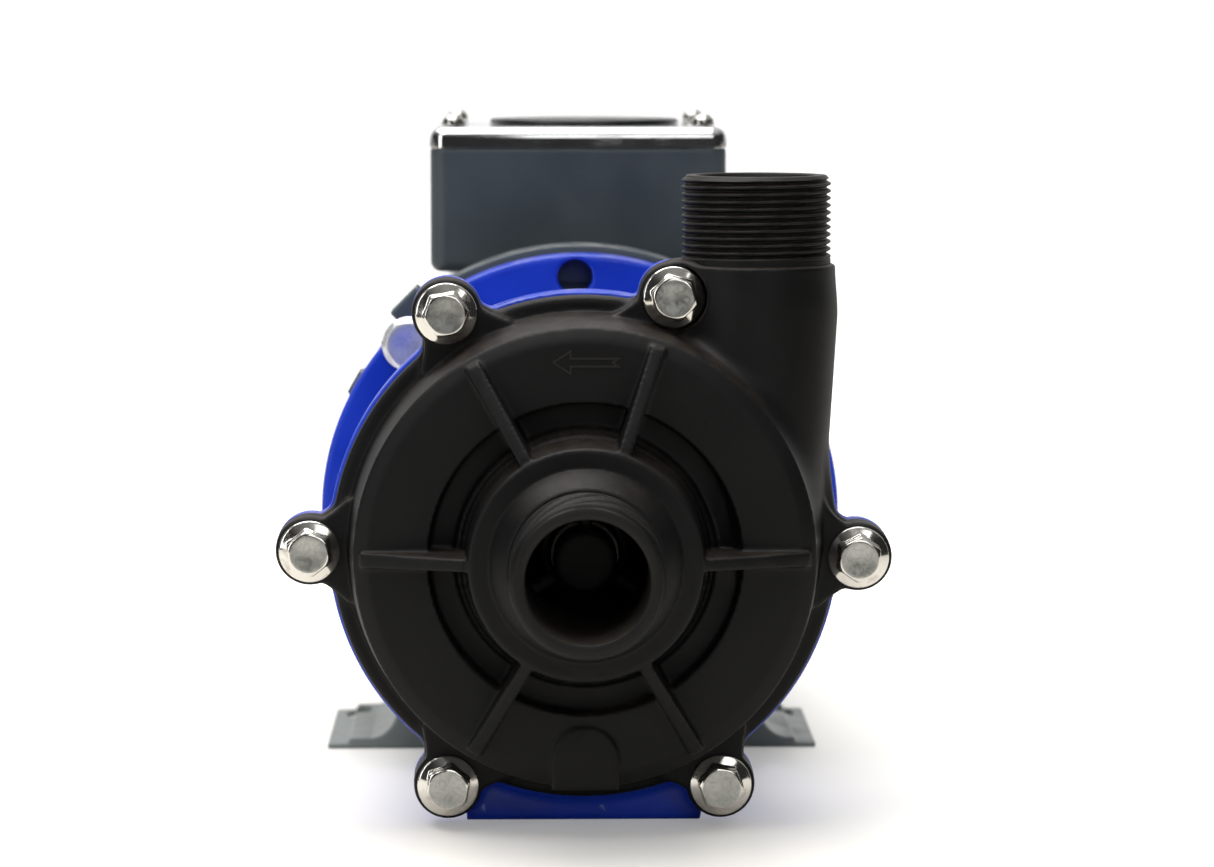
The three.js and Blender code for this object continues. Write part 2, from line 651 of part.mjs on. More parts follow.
function terminalBox() {
  const outer = plateLevel(roundedRectangle(BOX_SIDE, BOX_SIDE, 6), BOX_BOTTOM, BOX_TOP);
  const inside = BOX_SIDE - 2 * BOX_WALL;
  const inner = plateLevel(roundedRectangle(inside, inside, 4), 97, BOX_TOP + 5);
  const corners = [[1, 1], [-1, 1], [-1, -1], [1, -1]];
  const atCorners = (made) => corners.map(([x, y]) => moved(made, x * LID_SCREW_AT, y * LID_SCREW_AT, 0));
  const walls = joined([outer.subtract(inner), ...atCorners(post(6.4, 96, BOX_TOP))]);
  const cableHole = moved(bar(10.4, BOX_SIDE / 2 - 13, BOX_SIDE / 2 + 5, INNER_ROUND), 0, 0, GLAND_HEIGHT);
  const drilled = without(walls, [...atCorners(post(2.3, 108, BOX_TOP + 5)), cableHole]);
  const seated = moved(drilled, BOX_SHIFT, BOX_CENTRE, 0).subtract(bar(FIN_R + 0.7, 90, 270, 48));
  return piece('terminal_box', seated, 'slate');
}

function boxGasket() {
  const [side, inside] = [GASKET_SIDE, BOX_SIDE - 2 * BOX_WALL - 1];
  const outer = plateLevel(roundedRectangle(side, side, 5), BOX_TOP + GAP, GASKET_TOP);
  const inner = plateLevel(roundedRectangle(inside, inside, 4), BOX_TOP - 5, GASKET_TOP + 5);
  return piece('box_gasket', moved(outer.subtract(inner), BOX_SHIFT, BOX_CENTRE, 0), 'rubber');
}

// The lid: a polished cover that stands on the rim of the box, round the gasket.
function boxLid() {
  const side = BOX_SIDE + 0.6;
  const room = GASKET_SIDE + 2 * GAP;
  const rim = plateLevel(roundedRectangle(side, side, 6), BOX_TOP + GAP, LID_TOP - 2);
  const crown = plateLevel(roundedRectangle(side - 3, side - 3, 5), LID_TOP - 2.5, LID_TOP);
  const inner = plateLevel(roundedRectangle(room, room, 5), 110, GASKET_TOP + GAP);
  const holes = [[1, 1], [-1, 1], [-1, -1], [1, -1]].map(([x, y]) =>
    moved(post(2.3, 110, 140), x * LID_SCREW_AT, y * LID_SCREW_AT, 0),
  );
  const cover = without(rim.add(crown), [inner, ...holes]);
  return piece('box_lid', moved(cover, BOX_SHIFT, BOX_CENTRE, 0), 'polished');
}

function lidScrews() {
  return [[-1, -1], [1, -1], [1, 1], [-1, 1]].map(([x, y], i) => {
    const screw = panScrew(`lid_screw_${i + 1}`, 4, 4, 2, 20, 'stainless');
    screw.position.set(BOX_SHIFT + x * LID_SCREW_AT, BOX_CENTRE + y * LID_SCREW_AT, LID_TOP + GAP);
    return screw;
  });
}

function terminalBlock() {
  const base = block([-30, -14, 97.3], [30, 14, 106]);
  const studs = [-20, 0, 20].flatMap((x) => [-7, 7].map((y) => moved(post(2.5, 105, 115), x, y, 0)));
  return piece('terminal_block', moved(joined([base, ...studs]), BOX_SHIFT, BOX_CENTRE, 0), 'plastic');
}

// A cable gland through the rear wall of the box, open right through.
function cableGland() {
  const body = new THREE.CylinderGeometry(13.8, 13.8, 9, 6);
  const hexagon = moved(solid(body), 0, 4.5, 0);
  const profile = turned([
    [0, -12], [9.9, -12], [9.9, 0], [12, 0], [12, 18], [9, 25], [0, 25],
  ], INNER_ROUND);
  const gland = joined([hexagon, profile]).subtract(bar(5, -20, 30, INNER_ROUND));
  const wall = BOX_CENTRE + BOX_SIDE / 2 + GAP;
  return piece('cable_gland', moved(gland, BOX_SHIFT, wall, GLAND_HEIGHT), 'plastic');
}

function boxParts() {
  const bottom = LID_TOP + GAP;
  const top = LID_TOP + 2;
  const disc = turnedUpright([[0, bottom], [34.5, bottom], [34.5, top - 0.6], [33.5, top], [0, top]]);
  return [
    terminalBox(),
    boxGasket(),
    boxLid(),
    piece('lid_disc', moved(disc, 2.9, BOX_CENTRE, 0), 'plastic'),
    ...lidScrews(),
    terminalBlock(),
    cableGland(),
  ];
}

function ratingPlate() {
  const plate = block([RAIL_R + GAP, 150, -14], [RAIL_R + GAP + 0.8, 205, 14]);
  return piece('rating_plate', turnedTo(plate, RAIL_ANGLES[1]), 'aluminium');
}

// ---- Assembly ----

const wetEnd = new THREE.Group();
wetEnd.add(
  frontCasing(),
  ...casingBolts(),
  casingRing(),
  containmentCan(),
  ...spindleParts(),
  ...impellerParts(),
);

const drive = new THREE.Group();
drive.add(motorAdapter(), ...adapterBolts(), ...driveParts());

const motor = new THREE.Group();
motor.add(
  frontShield(),
  rearShield(),
  motorFrame(),
  ...stator(),
  ...motorShaft(),
  ...bearing('front', 86.5),
  ...bearing('rear', 250.5),
  coolingFan(),
  fanCowl(),
  ...cowlScrews(),
  foot('foot_left', -1, LEFT_FOOT_END),
  foot('foot_right', 1, RIGHT_FOOT_END),
  ratingPlate(),
);

const terminals = new THREE.Group();
terminals.add(...boxParts());

const group = new THREE.Group();
group.add(wetEnd, drive, motor, terminals);
group.position.set(0, NOZZLE_REACH - OVERALL_LENGTH / 2, SHAFT_HEIGHT);

export default group;
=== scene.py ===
"""Looks for the magnetic-drive pump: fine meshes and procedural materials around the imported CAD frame.

Shapes are drawn in millimetres about the shaft: x to the side, y behind the back face of the
containment can's flange, z above the shaft. Moulded and cast pieces are signed distance fields turned
into meshes, so that their joins are filleted; machined and sheet pieces are turned or lofted meshes.
"""
import math

import bpy
import numpy as np
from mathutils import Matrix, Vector


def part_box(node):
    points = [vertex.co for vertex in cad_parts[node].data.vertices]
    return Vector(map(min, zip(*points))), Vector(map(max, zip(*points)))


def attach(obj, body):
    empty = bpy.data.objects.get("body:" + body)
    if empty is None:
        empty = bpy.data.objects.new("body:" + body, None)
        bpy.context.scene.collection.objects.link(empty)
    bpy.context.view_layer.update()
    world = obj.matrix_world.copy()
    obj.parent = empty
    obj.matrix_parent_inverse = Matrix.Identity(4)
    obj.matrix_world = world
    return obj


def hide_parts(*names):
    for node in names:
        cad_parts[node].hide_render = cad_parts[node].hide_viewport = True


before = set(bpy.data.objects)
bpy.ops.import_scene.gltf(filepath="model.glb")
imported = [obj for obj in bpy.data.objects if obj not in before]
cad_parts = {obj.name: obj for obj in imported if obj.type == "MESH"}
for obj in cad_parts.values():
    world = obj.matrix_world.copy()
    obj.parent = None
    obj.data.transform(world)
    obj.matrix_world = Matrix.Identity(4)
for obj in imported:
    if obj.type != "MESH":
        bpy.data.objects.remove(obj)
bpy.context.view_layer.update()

MM = 0.001
ROOT_BODY = "pump_body"
ROTOR_BODY = "rotor"
RUNNER_BODY = "runner"

# ---- Places read from the frame ----


def box_mm(node):
    """Lowest and highest corners of a CAD node, in millimetres about the shaft."""
    low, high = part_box(node)
    return (np.array(low) - ORIGIN) / MM, (np.array(high) - ORIGIN) / MM


def centre_mm(node):
    low, high = box_mm(node)
    return (low + high) / 2


CONTACT_GAP = 0.3
CAN_FLANGE = 6.0
spindle_low, spindle_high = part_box("spindle")
ORIGIN = np.array([
    (spindle_low.x + spindle_high.x) / 2,
    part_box("containment_can")[0].y + CAN_FLANGE * MM,
    (spindle_low.z + spindle_high.z) / 2,
])
FLOOR = -ORIGIN[2] / MM

NOZZLE_TIP = box_mm("front_casing")[0][1]
DISCHARGE_TOP = box_mm("front_casing")[1][2]
LUG_CENTRES = [centre_mm(f"casing_bolt_{i}")[[0, 2]] for i in range(1, 7)]
LUG_ANGLES = [math.degrees(math.atan2(z, x)) for x, z in LUG_CENTRES]
LUG_RADII = [float(np.hypot(x, z)) for x, z in LUG_CENTRES]
BOLT_CIRCLE = LUG_RADII[0]
JOINT = box_mm("motor_adapter")[0][1] - CONTACT_GAP
HEAD_HEIGHT = 8.0
BOLT_SEAT = box_mm("casing_bolt_1")[0][1] + HEAD_HEIGHT
LUG_FACE = BOLT_SEAT + CONTACT_GAP
MOTOR_BOLTS = [centre_mm(f"adapter_bolt_{i}")[[0, 2]] for i in range(1, 5)]
PLATE_BACK = box_mm("motor_adapter")[1][1]
MOTOR_FACE = PLATE_BACK + CONTACT_GAP

# ---- Signed distance fields ----


class Grid:
    """Sample points of a box, in millimetres, with the distance to the piece's surface at each."""

    def __init__(self, low, high, step):
        self.step = step
        self.axes = [
            np.arange(a, b + step, step, dtype=np.float32) for a, b in zip(low, high)
        ]
        self.distance = np.full([len(a) for a in self.axes], 60.0, np.float32)

    def window(self, low, high):
        """The part of the grid inside a smaller box, sharing its samples."""
        part = Grid.__new__(Grid)
        part.step = self.step
        cut = []
        for axis, a, b in zip(self.axes, low, high):
            start = max(int(np.searchsorted(axis, a)) - 1, 0)
            stop = min(int(np.searchsorted(axis, b)) + 1, len(axis))
            cut.append(slice(start, stop))
        part.axes = [axis[c] for axis, c in zip(self.axes, cut)]
        part.distance = self.distance[tuple(cut)]
        return part

    @property
    def x(self):
        return self.axes[0][:, None, None]

    @property
    def y(self):
        return self.axes[1][None, :, None]

    @property
    def z(self):
        return self.axes[2][None, None, :]

    def add(self, shape, blend=0.0):
        self.distance[...] = soft_min(self.distance, shape, blend)

    def cut(self, shape, blend=0.0):
        self.distance[...] = -soft_min(-self.distance, shape, blend)


def soft_min(a, b, blend):
    """The smaller of two distances, rounded over a band where they are close."""
    if blend <= 0:
        return np.minimum(a, b)
    near = np.maximum(blend - np.abs(a - b), 0) / blend
    return np.minimum(a, b) - near * near * (blend / 4)


def outline_distance(outline, u, v):
    """Signed distance from points to a closed outline, negative inside."""
    points = np.asarray(outline, float)
    nearest = np.full(np.broadcast(u, v).shape, 1e9)
    inside = np.zeros(nearest.shape, bool)
    for (ax, ay), (bx, by) in zip(points, np.roll(points, -1, axis=0)):
        ex, ey = bx - ax, by - ay
        length = ex * ex + ey * ey
        if length < 1e-12:
            continue
        px, py = u - ax, v - ay
        along = np.clip((px * ex + py * ey) / length, 0, 1)
        nearest = np.minimum(nearest, (px - along * ex) ** 2 + (py - along * ey) ** 2)
        if ey != 0:
            crosses = (ay > v) != (by > v)
            inside ^= crosses & (u < ax + ex * (v - ay) / ey)
    return np.where(inside, -1, 1) * np.sqrt(nearest)


def swept(coordinate, along, outline):
    """Distances to an outline given in (coordinate, along), for every sample of a 2D coordinate map."""
    step = 0.2
    low = float(coordinate.min()) - step
    samples = np.arange(low, float(coordinate.max()) + 3 * step, step)
    table = outline_distance(outline, samples[:, None], along[None, :]).astype(np.float32)
    place = (coordinate - low) / step
    first = place.astype(int)
    share = (place - first).astype(np.float32)[..., None]
    return table[first] * (1 - share) + table[first + 1] * share


def turned_shape(grid, outline):
    """A shape turned about the shaft, drawn in (radius, y)."""
    radius = np.hypot(grid.axes[0][:, None], grid.axes[2][None, :])
    return swept(radius, grid.axes[1], outline).transpose(0, 2, 1)


def upright_shape(grid, outline, x, y):
    """A shape turned about a vertical line, drawn in (radius, z)."""
    radius = np.hypot(grid.axes[0][:, None] - x, grid.axes[1][None, :] - y)
    return swept(radius, grid.axes[2], outline)


def rounded_pair(a, b, edge):
    """Inside both a and b, with the corner between them rounded."""
    a, b = a + edge, b + edge
    outside = np.sqrt(np.maximum(a, 0) ** 2 + np.maximum(b, 0) ** 2)
    return np.minimum(np.maximum(a, b), 0) + outside - edge


def across_shape(grid, outline, y0, y1, edge=0.5):
    """An outline in (x, z) extruded along y, with rounded ends."""
    flat = outline_distance(outline, grid.axes[0][:, None], grid.axes[2][None, :])
    flat = flat.astype(np.float32)[:, None, :]
    ends = np.abs(grid.y - (y0 + y1) / 2) - (y1 - y0) / 2
    return rounded_pair(flat, ends, edge)


def bar_shape(grid, x, z, radius, y0, y1, edge=0.3):
    flat = np.hypot(grid.x - x, grid.z - z) - radius
    ends = np.abs(grid.y - (y0 + y1) / 2) - (y1 - y0) / 2
    return rounded_pair(flat, ends, edge)


def cone_shape(grid, start, end, r0, r1):
    """A round-ended cone between two points."""
    axis = np.subtract(end, start)
    length = float(np.linalg.norm(axis))
    axis = axis / length
    px, py, pz = grid.x - start[0], grid.y - start[1], grid.z - start[2]
    along = np.clip((px * axis[0] + py * axis[1] + pz * axis[2]) / length, 0, 1)
    reach = along * length
    away = (px - reach * axis[0]) ** 2 + (py - reach * axis[1]) ** 2 + (pz - reach * axis[2]) ** 2
    return np.sqrt(away) - (r0 + (r1 - r0) * along)


def filleted(corners, segments=5):
    """A closed outline from (u, v, radius) corners, each with its corner rounded."""
    outline = []
    count = len(corners)
    for i, (u, v, radius) in enumerate(corners):
        here = np.array([u, v], float)
        back = np.array(corners[i - 1][:2], float) - here
        ahead = np.array(corners[(i + 1) % count][:2], float) - here
        to_back, to_ahead = np.linalg.norm(back), np.linalg.norm(ahead)
        if radius <= 0 or to_back < 1e-6 or to_ahead < 1e-6:
            outline.append(here)
            continue
        back, ahead = back / to_back, ahead / to_ahead
        half = math.acos(max(-1.0, min(1.0, float(back @ ahead)))) / 2
        if half > math.radians(88):
            outline.append(here)
            continue
        cut = min(radius / math.tan(half), 0.49 * to_back, 0.49 * to_ahead)
        start, end = here + back * cut, here + ahead * cut
        middle = here + (back + ahead) / np.linalg.norm(back + ahead) * (cut / math.cos(half))
        size = cut * math.tan(half)
        a0 = math.atan2(*(start - middle)[::-1])
        a1 = math.atan2(*(end - middle)[::-1])
        turn = (a1 - a0 + math.pi) % (2 * math.pi) - math.pi
        for k in range(segments + 1):
            angle = a0 + turn * k / segments
            outline.append(middle + size * np.array([math.cos(angle), math.sin(angle)]))
    return np.array(outline)


def turned_outline(outline, degrees):
    """An outline in (x, z) drawn towards +X, turned to point at an angle about the shaft."""
    a = math.radians(degrees)
    turn = np.array([[math.cos(a), math.sin(a)], [-math.sin(a), math.cos(a)]])
    return np.asarray(outline) @ turn


def arc(x, z, radius, start, end, count):
    """Points on an arc, from one angle in degrees to another."""
    angles = np.radians(np.linspace(start, end, count))
    return np.column_stack([x + radius * np.cos(angles), z + radius * np.sin(angles)])

# ---- Meshes ----

CORNERS = [(i, j, k) for i in (0, 1) for j in (0, 1) for k in (0, 1)]
CELL_EDGES = [
    (a, b) for a in range(8) for b in range(a + 1, 8)
    if sum(abs(p - q) for p, q in zip(CORNERS[a], CORNERS[b])) == 1
]


def surface_of(grid):
    """Vertices and quads of the grid's zero surface: one vertex in each cell that the surface crosses."""
    field = grid.distance
    inside = field < 0
    cells = tuple(n - 1 for n in field.shape)
    count = np.zeros(cells, np.int8)
    for i, j, k in CORNERS:
        count += inside[i:cells[0] + i, j:cells[1] + j, k:cells[2] + k]
    crossed = np.argwhere((count > 0) & (count < 8))
    values = np.stack([field[tuple((crossed + c).T)] for c in CORNERS], axis=1)
    total = np.zeros((len(crossed), 3))
    hits = np.zeros(len(crossed))
    for a, b in CELL_EDGES:
        va, vb = values[:, a], values[:, b]
        cut = (va < 0) != (vb < 0)
        share = np.where(cut, va / np.where(cut, va - vb, 1), 0)[:, None]
        point = np.array(CORNERS[a]) + share * (np.array(CORNERS[b]) - np.array(CORNERS[a]))
        total += np.where(cut[:, None], point, 0)
        hits += cut
    start = np.array([axis[0] for axis in grid.axes])
    vertices = start + (crossed + total / hits[:, None]) * grid.step
    number = np.full(cells, -1, np.int32)
    number[tuple(crossed.T)] = np.arange(len(crossed))
    return vertices, surface_quads(inside, number)


def surface_quads(inside, number):
    """One quad round each grid edge that the surface crosses, facing outward."""
    quads = []
    for axis in range(3):
        u, v = (axis + 1) % 3, (axis + 2) % 3
        lower = [slice(1, -1)] * 3
        upper = [slice(1, -1)] * 3
        lower[axis], upper[axis] = slice(0, -1), slice(1, None)
        a, b = inside[tuple(lower)], inside[tuple(upper)]
        edges = np.argwhere(a != b)
        offset = np.ones(3, int)
        offset[axis] = 0
        base = edges + offset
        ring = []
        for du, dv in ((0, 0), (-1, 0), (-1, -1), (0, -1)):
            cell = base.copy()
            cell[:, u] += du
            cell[:, v] += dv
            ring.append(number[tuple(cell.T)])
        ring = np.stack(ring, axis=1)
        leaving = a[tuple(edges.T)]
        ring[~leaving] = ring[~leaving][:, ::-1]
        quads.append(ring)
    return np.concatenate(quads)


def new_object(name, vertices, faces, smooth=True):
    """An object from vertices in millimetres about the shaft; faces may have any number of corners."""
    mesh = bpy.data.meshes.new(name)
    points = np.asarray(vertices, np.float64) * MM + ORIGIN
    if isinstance(faces, np.ndarray):
        sizes = np.full(len(faces), faces.shape[1])
        loops = faces.ravel()
    else:
        sizes = np.array([len(f) for f in faces])
        loops = np.array([i for f in faces for i in f])
    mesh.vertices.add(len(points))
    mesh.vertices.foreach_set("co", points.astype(np.float32).ravel())
    mesh.loops.add(len(loops))
    mesh.loops.foreach_set("vertex_index", loops.astype(np.int32))
    mesh.polygons.add(len(sizes))
    mesh.polygons.foreach_set("loop_start", (np.cumsum(sizes) - sizes).astype(np.int32))
    mesh.polygons.foreach_set("use_smooth", np.full(len(sizes), smooth))
    mesh.update(calc_edges=True)
    mesh.validate()
    thing = bpy.data.objects.new(name, mesh)
    bpy.context.scene.collection.objects.link(thing)
    return thing


def field_object(name, grid, keep=1.0):
    """The grid's surface as an object, thinned to a share of its faces."""
    vertices, quads = surface_of(grid)
    thing = new_object(name, vertices, quads)
    if keep < 1:
        thin = thing.modifiers.new("thin", "DECIMATE")
        thin.ratio = keep
    return thing


def finish_piece(thing, look, *nodes, body=ROOT_BODY):
    """Gives a piece its material and body, and hides the CAD nodes that it stands for."""
    thing.data.materials.clear()
    thing.data.materials.append(MATERIALS[look])
    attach(thing, body)
    if nodes:
        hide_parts(*nodes)
    return thing


def turned_mesh(profile, segments, centre=(0, 0, 0), axis="y"):
    """Vertices and faces of a closed profile in (radius, height), turned about an axis."""
    profile = np.asarray(profile, float)
    angles = np.linspace(0, 2 * math.pi, segments, endpoint=False)
    radius, height = profile[:, 0][None, :], profile[:, 1][None, :]
    c, s = np.cos(angles)[:, None], np.sin(angles)[:, None]
    flat = np.broadcast_to(height, (segments, len(profile)))
    around = {"y": (radius * c, flat, -radius * s), "z": (radius * c, radius * s, flat),
              "x": (flat, radius * c, radius * s)}[axis]
    vertices = np.stack(around, axis=2).reshape(-1, 3) + np.asarray(centre, float)
    n = len(profile)
    area = np.sum(profile[:, 0] * np.roll(profile[:, 1], -1) - np.roll(profile[:, 0], -1) * profile[:, 1])
    faces = []
    for i in range(segments):
        ahead = (i + 1) % segments
        for j in range(n):
            up = (j + 1) % n
            if profile[j, 0] < 1e-9 and profile[up, 0] < 1e-9:
                continue
            quad = [i * n + j, ahead * n + j, ahead * n + up, i * n + up]
            if profile[j, 0] < 1e-9:
                quad = [j, ahead * n + up, i * n + up]
            elif profile[up, 0] < 1e-9:
                quad = [i * n + j, ahead * n + j, up]
            faces.append(quad if area < 0 else quad[::-1])
    return vertices, faces


def drop_loose(vertices, faces):
    """The same mesh without the vertices that no face uses."""
    used = sorted({i for f in faces for i in f})
    place = {old: new for new, old in enumerate(used)}
    return vertices[used], [[place[i] for i in f] for f in faces]


def turned_object(name, corners, segments=96, centre=(0, 0, 0), axis="y"):
    """A turned piece from (radius, height, fillet) corners."""
    vertices, faces = turned_mesh(filleted(corners, 4), segments, centre, axis)
    thing = new_object(name, *drop_loose(vertices, faces))
    return shade_by_angle(thing)


def shade_by_angle(thing, degrees=35):
    """Smooth shading except over sharp edges."""
    thing.data.shade_smooth()
    limit = math.radians(degrees)
    mesh = thing.data
    normals = np.zeros(len(mesh.polygons) * 3, np.float32)
    mesh.polygons.foreach_get("normal", normals)
    normals = normals.reshape(-1, 3)
    faces_of = {}
    for face in mesh.polygons:
        for key in face.edge_keys:
            faces_of.setdefault(key, []).append(face.index)
    sharp = np.zeros(len(mesh.edges), bool)
    for edge in mesh.edges:
        pair = faces_of.get(edge.key, ())
        if len(pair) == 2 and float(normals[pair[0]] @ normals[pair[1]]) < math.cos(limit):
            sharp[edge.index] = True
    mesh.attributes.new("sharp_edge", "BOOLEAN", "EDGE").data.foreach_set("value", sharp)
    return thing


def lofted_object(name, loops):
    """A skin over a stack of loops with the same number of points; the first and last are capped."""
    n = len(loops[0])
    vertices = np.concatenate([np.asarray(loop, float) for loop in loops])
    faces = []
    for row in range(len(loops) - 1):
        for j in range(n):
            ahead = (j + 1) % n
            faces.append([row * n + j, row * n + ahead, (row + 1) * n + ahead, (row + 1) * n + j])
    faces.append(list(range(n))[::-1])
    faces.append([(len(loops) - 1) * n + j for j in range(n)])
    return shade_by_angle(new_object(name, vertices, faces))

# ---- Materials ----


def set_range(node, low, high, to_low, to_high):
    """Makes a Map Range node a smooth ramp between two pairs of limits."""
    node.interpolation_type = "SMOOTHSTEP"
    for socket, number in zip(("From Min", "From Max", "To Min", "To Max"), (low, high, to_low, to_high)):
        node.inputs[socket].default_value = number


class Nodes:
    """A small helper to build a material's node tree."""

    def __init__(self, name):
        self.material = bpy.data.materials.new(name)
        self.material.use_nodes = True
        self.tree = self.material.node_tree
        self.tree.nodes.clear()
        self.surface = self.tree.nodes.new("ShaderNodeBsdfPrincipled")
        output = self.tree.nodes.new("ShaderNodeOutputMaterial")
        self.link(self.surface.outputs["BSDF"], output.inputs["Surface"])
        self.place = self.tree.nodes.new("ShaderNodeTexCoord").outputs["Object"]
        self.geometry = self.tree.nodes.new("ShaderNodeNewGeometry")

    def link(self, source, target):
        self.tree.links.new(source, target)

    def put(self, value, socket):
        """Links an output to a socket, or sets the socket's own value."""
        if isinstance(value, bpy.types.NodeSocket):
            self.link(value, socket)
        elif hasattr(socket.default_value, "__len__") and len(value) == 3:
            socket.default_value = (*value, 1.0)
        else:
            socket.default_value = value

    def noise(self, size_mm, detail=3.0, roughness=0.5, stretch=(1, 1, 1), distortion=0.0):
        """A noise with features of about the given size, from 0 to 1."""
        mapping = self.tree.nodes.new("ShaderNodeMapping")
        mapping.inputs["Scale"].default_value = stretch
        self.link(self.place, mapping.inputs["Vector"])
        node = self.tree.nodes.new("ShaderNodeTexNoise")
        node.inputs["Scale"].default_value = 1 / (size_mm * MM)
        node.inputs["Detail"].default_value = detail
        node.inputs["Roughness"].default_value = roughness
        node.inputs["Distortion"].default_value = distortion
        self.link(mapping.outputs["Vector"], node.inputs["Vector"])
        return node.outputs["Fac"]

    def cells(self, size_mm):
        """The distance to the nearest of many scattered points."""
        node = self.tree.nodes.new("ShaderNodeTexVoronoi")
        node.inputs["Scale"].default_value = 1 / (size_mm * MM)
        self.link(self.place, node.inputs["Vector"])
        return node.outputs["Distance"]

    def range(self, value, low, high, to_low=0.0, to_high=1.0):
        node = self.tree.nodes.new("ShaderNodeMapRange")
        set_range(node, low, high, to_low, to_high)
        self.link(value, node.inputs["Value"])
        return node.outputs["Result"]

    def math(self, kind, a, b=0.0):
        node = self.tree.nodes.new("ShaderNodeMath")
        node.operation = kind
        self.put(a, node.inputs[0])
        self.put(b, node.inputs[1])
        return node.outputs["Value"]

    def mix(self, share, a, b):
        node = self.tree.nodes.new("ShaderNodeMix")
        node.data_type = "RGBA"
        self.put(share, node.inputs[0])
        self.put(a, node.inputs[6])
        self.put(b, node.inputs[7])
        return node.outputs[2]

    def axis_of(self, vector, axis):
        node = self.tree.nodes.new("ShaderNodeSeparateXYZ")
        self.link(vector, node.inputs["Vector"])
        return node.outputs[axis]

    def upward(self, low=0.2, high=0.95):
        """How much the surface faces up."""
        return self.range(self.axis_of(self.geometry.outputs["Normal"], "Z"), low, high)

    def edges(self, low=0.52, high=0.62):
        """Convex edges of a dense mesh."""
        return self.range(self.geometry.outputs["Pointiness"], low, high)

    def bump(self, height, depth_mm, below=None):
        node = self.tree.nodes.new("ShaderNodeBump")
        node.inputs["Strength"].default_value = 1.0
        node.inputs["Distance"].default_value = depth_mm * MM
        self.link(height, node.inputs["Height"])
        if below is not None:
            self.link(below, node.inputs["Normal"])
        return node.outputs["Normal"]

    def finish(self, color, roughness, metallic=0.0, normal=None, **others):
        self.put(color, self.surface.inputs["Base Color"])
        self.put(roughness, self.surface.inputs["Roughness"])
        self.put(metallic, self.surface.inputs["Metallic"])
        if normal is not None:
            self.link(normal, self.surface.inputs["Normal"])
        for name, value in others.items():
            self.put(value, self.surface.inputs[name.replace("_", " ")])
        return self.material


def rgb(r, g, b):
    """Display colour numbers from 0 to 255 as scene-linear values."""
    return tuple((c / 255 / 12.92) if c <= 10 else ((c / 255 + 0.055) / 1.055) ** 2.4 for c in (r, g, b))


def moulded_black():
    """Satin glass-filled plastic: fine eroded grain, dull patches, thin warm dust on what faces up that also
    serves as a painted highlight from the bright ceiling, and edges lightened partly by wear and partly as a
    painted edge highlight.
    """
    n = Nodes("moulded_black")
    patches = n.noise(38, detail=4, roughness=0.6)
    grain = n.noise(0.55, detail=2)
    pits = n.cells(0.9)
    drift = n.range(n.noise(6, detail=6, roughness=0.7), 0.35, 0.7, 0.35, 1.0)
    # Warm grey on what faces up: partly real dust, partly a painted highlight from the bright ceiling.
    dust_and_sheen = n.math("MULTIPLY", n.upward(0.3, 1.0), drift)
    dust_and_sheen_film = n.math("MULTIPLY", dust_and_sheen, 0.07)
    base = n.mix(n.range(patches, 0.35, 0.65), rgb(7, 7, 8), rgb(12, 12, 13))
    # Convex edges lightened to warm grey: partly wear, partly a painted edge highlight.
    worn_and_edge_highlight = n.mix(n.math("MULTIPLY", n.edges(0.52, 0.62), 0.25), base, rgb(74, 71, 68))
    color = n.mix(dust_and_sheen_film, worn_and_edge_highlight, rgb(164, 146, 128))
    roughness = n.math("ADD", n.range(patches, 0.3, 0.7, 0.46, 0.56), n.math("MULTIPLY", dust_and_sheen_film, 0.4))
    normal = n.bump(pits, 0.012, n.bump(grain, 0.02))
    return n.finish(color, roughness, normal=normal, Specular_IOR_Level=0.2)


def painted(name, color, dark, light, gloss):
    """Sprayed paint over a casting: orange peel, slightly uneven shade, dust, and edges lightened partly by
    rubbed paint and partly as a painted edge highlight.
    """
    n = Nodes(name)
    drift = n.noise(30, detail=3)
    peel = n.noise(1.6, detail=1.5)
    sand = n.noise(0.5, detail=2)
    specks = n.range(n.cells(4.5), 0.0, 0.07, 1.0, 0.0)
    speck_places = n.math("MULTIPLY", specks, n.range(n.noise(16), 0.56, 0.62))
    shade = n.mix(n.range(drift, 0.3, 0.7), dark, color)
    # Convex edges mixed towards the light colour: partly rubbed paint, partly a painted edge highlight.
    rubbed_and_edge_highlight = n.mix(n.math("MULTIPLY", n.edges(0.53, 0.64), 0.55), shade, light)
    dusty = n.math("MULTIPLY", n.upward(0.4, 1.0), n.range(n.noise(9, detail=5), 0.4, 0.75, 0.0, 0.35))
    dust_color = rgb(168, 160, 150)
    colored = n.mix(dusty, rubbed_and_edge_highlight, dust_color)
    colored = n.mix(n.math("MULTIPLY", speck_places, 0.5), colored, dust_color)
    roughness = n.math("ADD", n.range(drift, 0.3, 0.7, gloss, gloss + 0.1), n.math("MULTIPLY", dusty, 0.5))
    normal = n.bump(sand, 0.008, n.bump(peel, 0.05))
    return n.finish(colored, roughness, normal=normal)


def metal(name, color, dark, roughness, grain_mm=0.4, stretch=(1, 1, 1), soil=0.3):
    """Bare metal: fine directional grain, uneven polish, and grime where it gathers."""
    n = Nodes(name)
    fine = n.noise(grain_mm, detail=3, stretch=stretch)
    drift = n.noise(5, detail=4, roughness=0.6)
    grime = n.math("MULTIPLY", n.range(drift, 0.5, 0.75), soil)
    colored = n.mix(grime, n.mix(n.range(fine, 0.3, 0.7), dark, color), rgb(70, 62, 54))
    polish = n.range(fine, 0.3, 0.7, roughness - 0.05, roughness + 0.1)
    rough = n.math("ADD", polish, n.math("MULTIPLY", grime, 0.6))
    return n.finish(colored, rough, metallic=1.0, normal=n.bump(fine, 0.012))


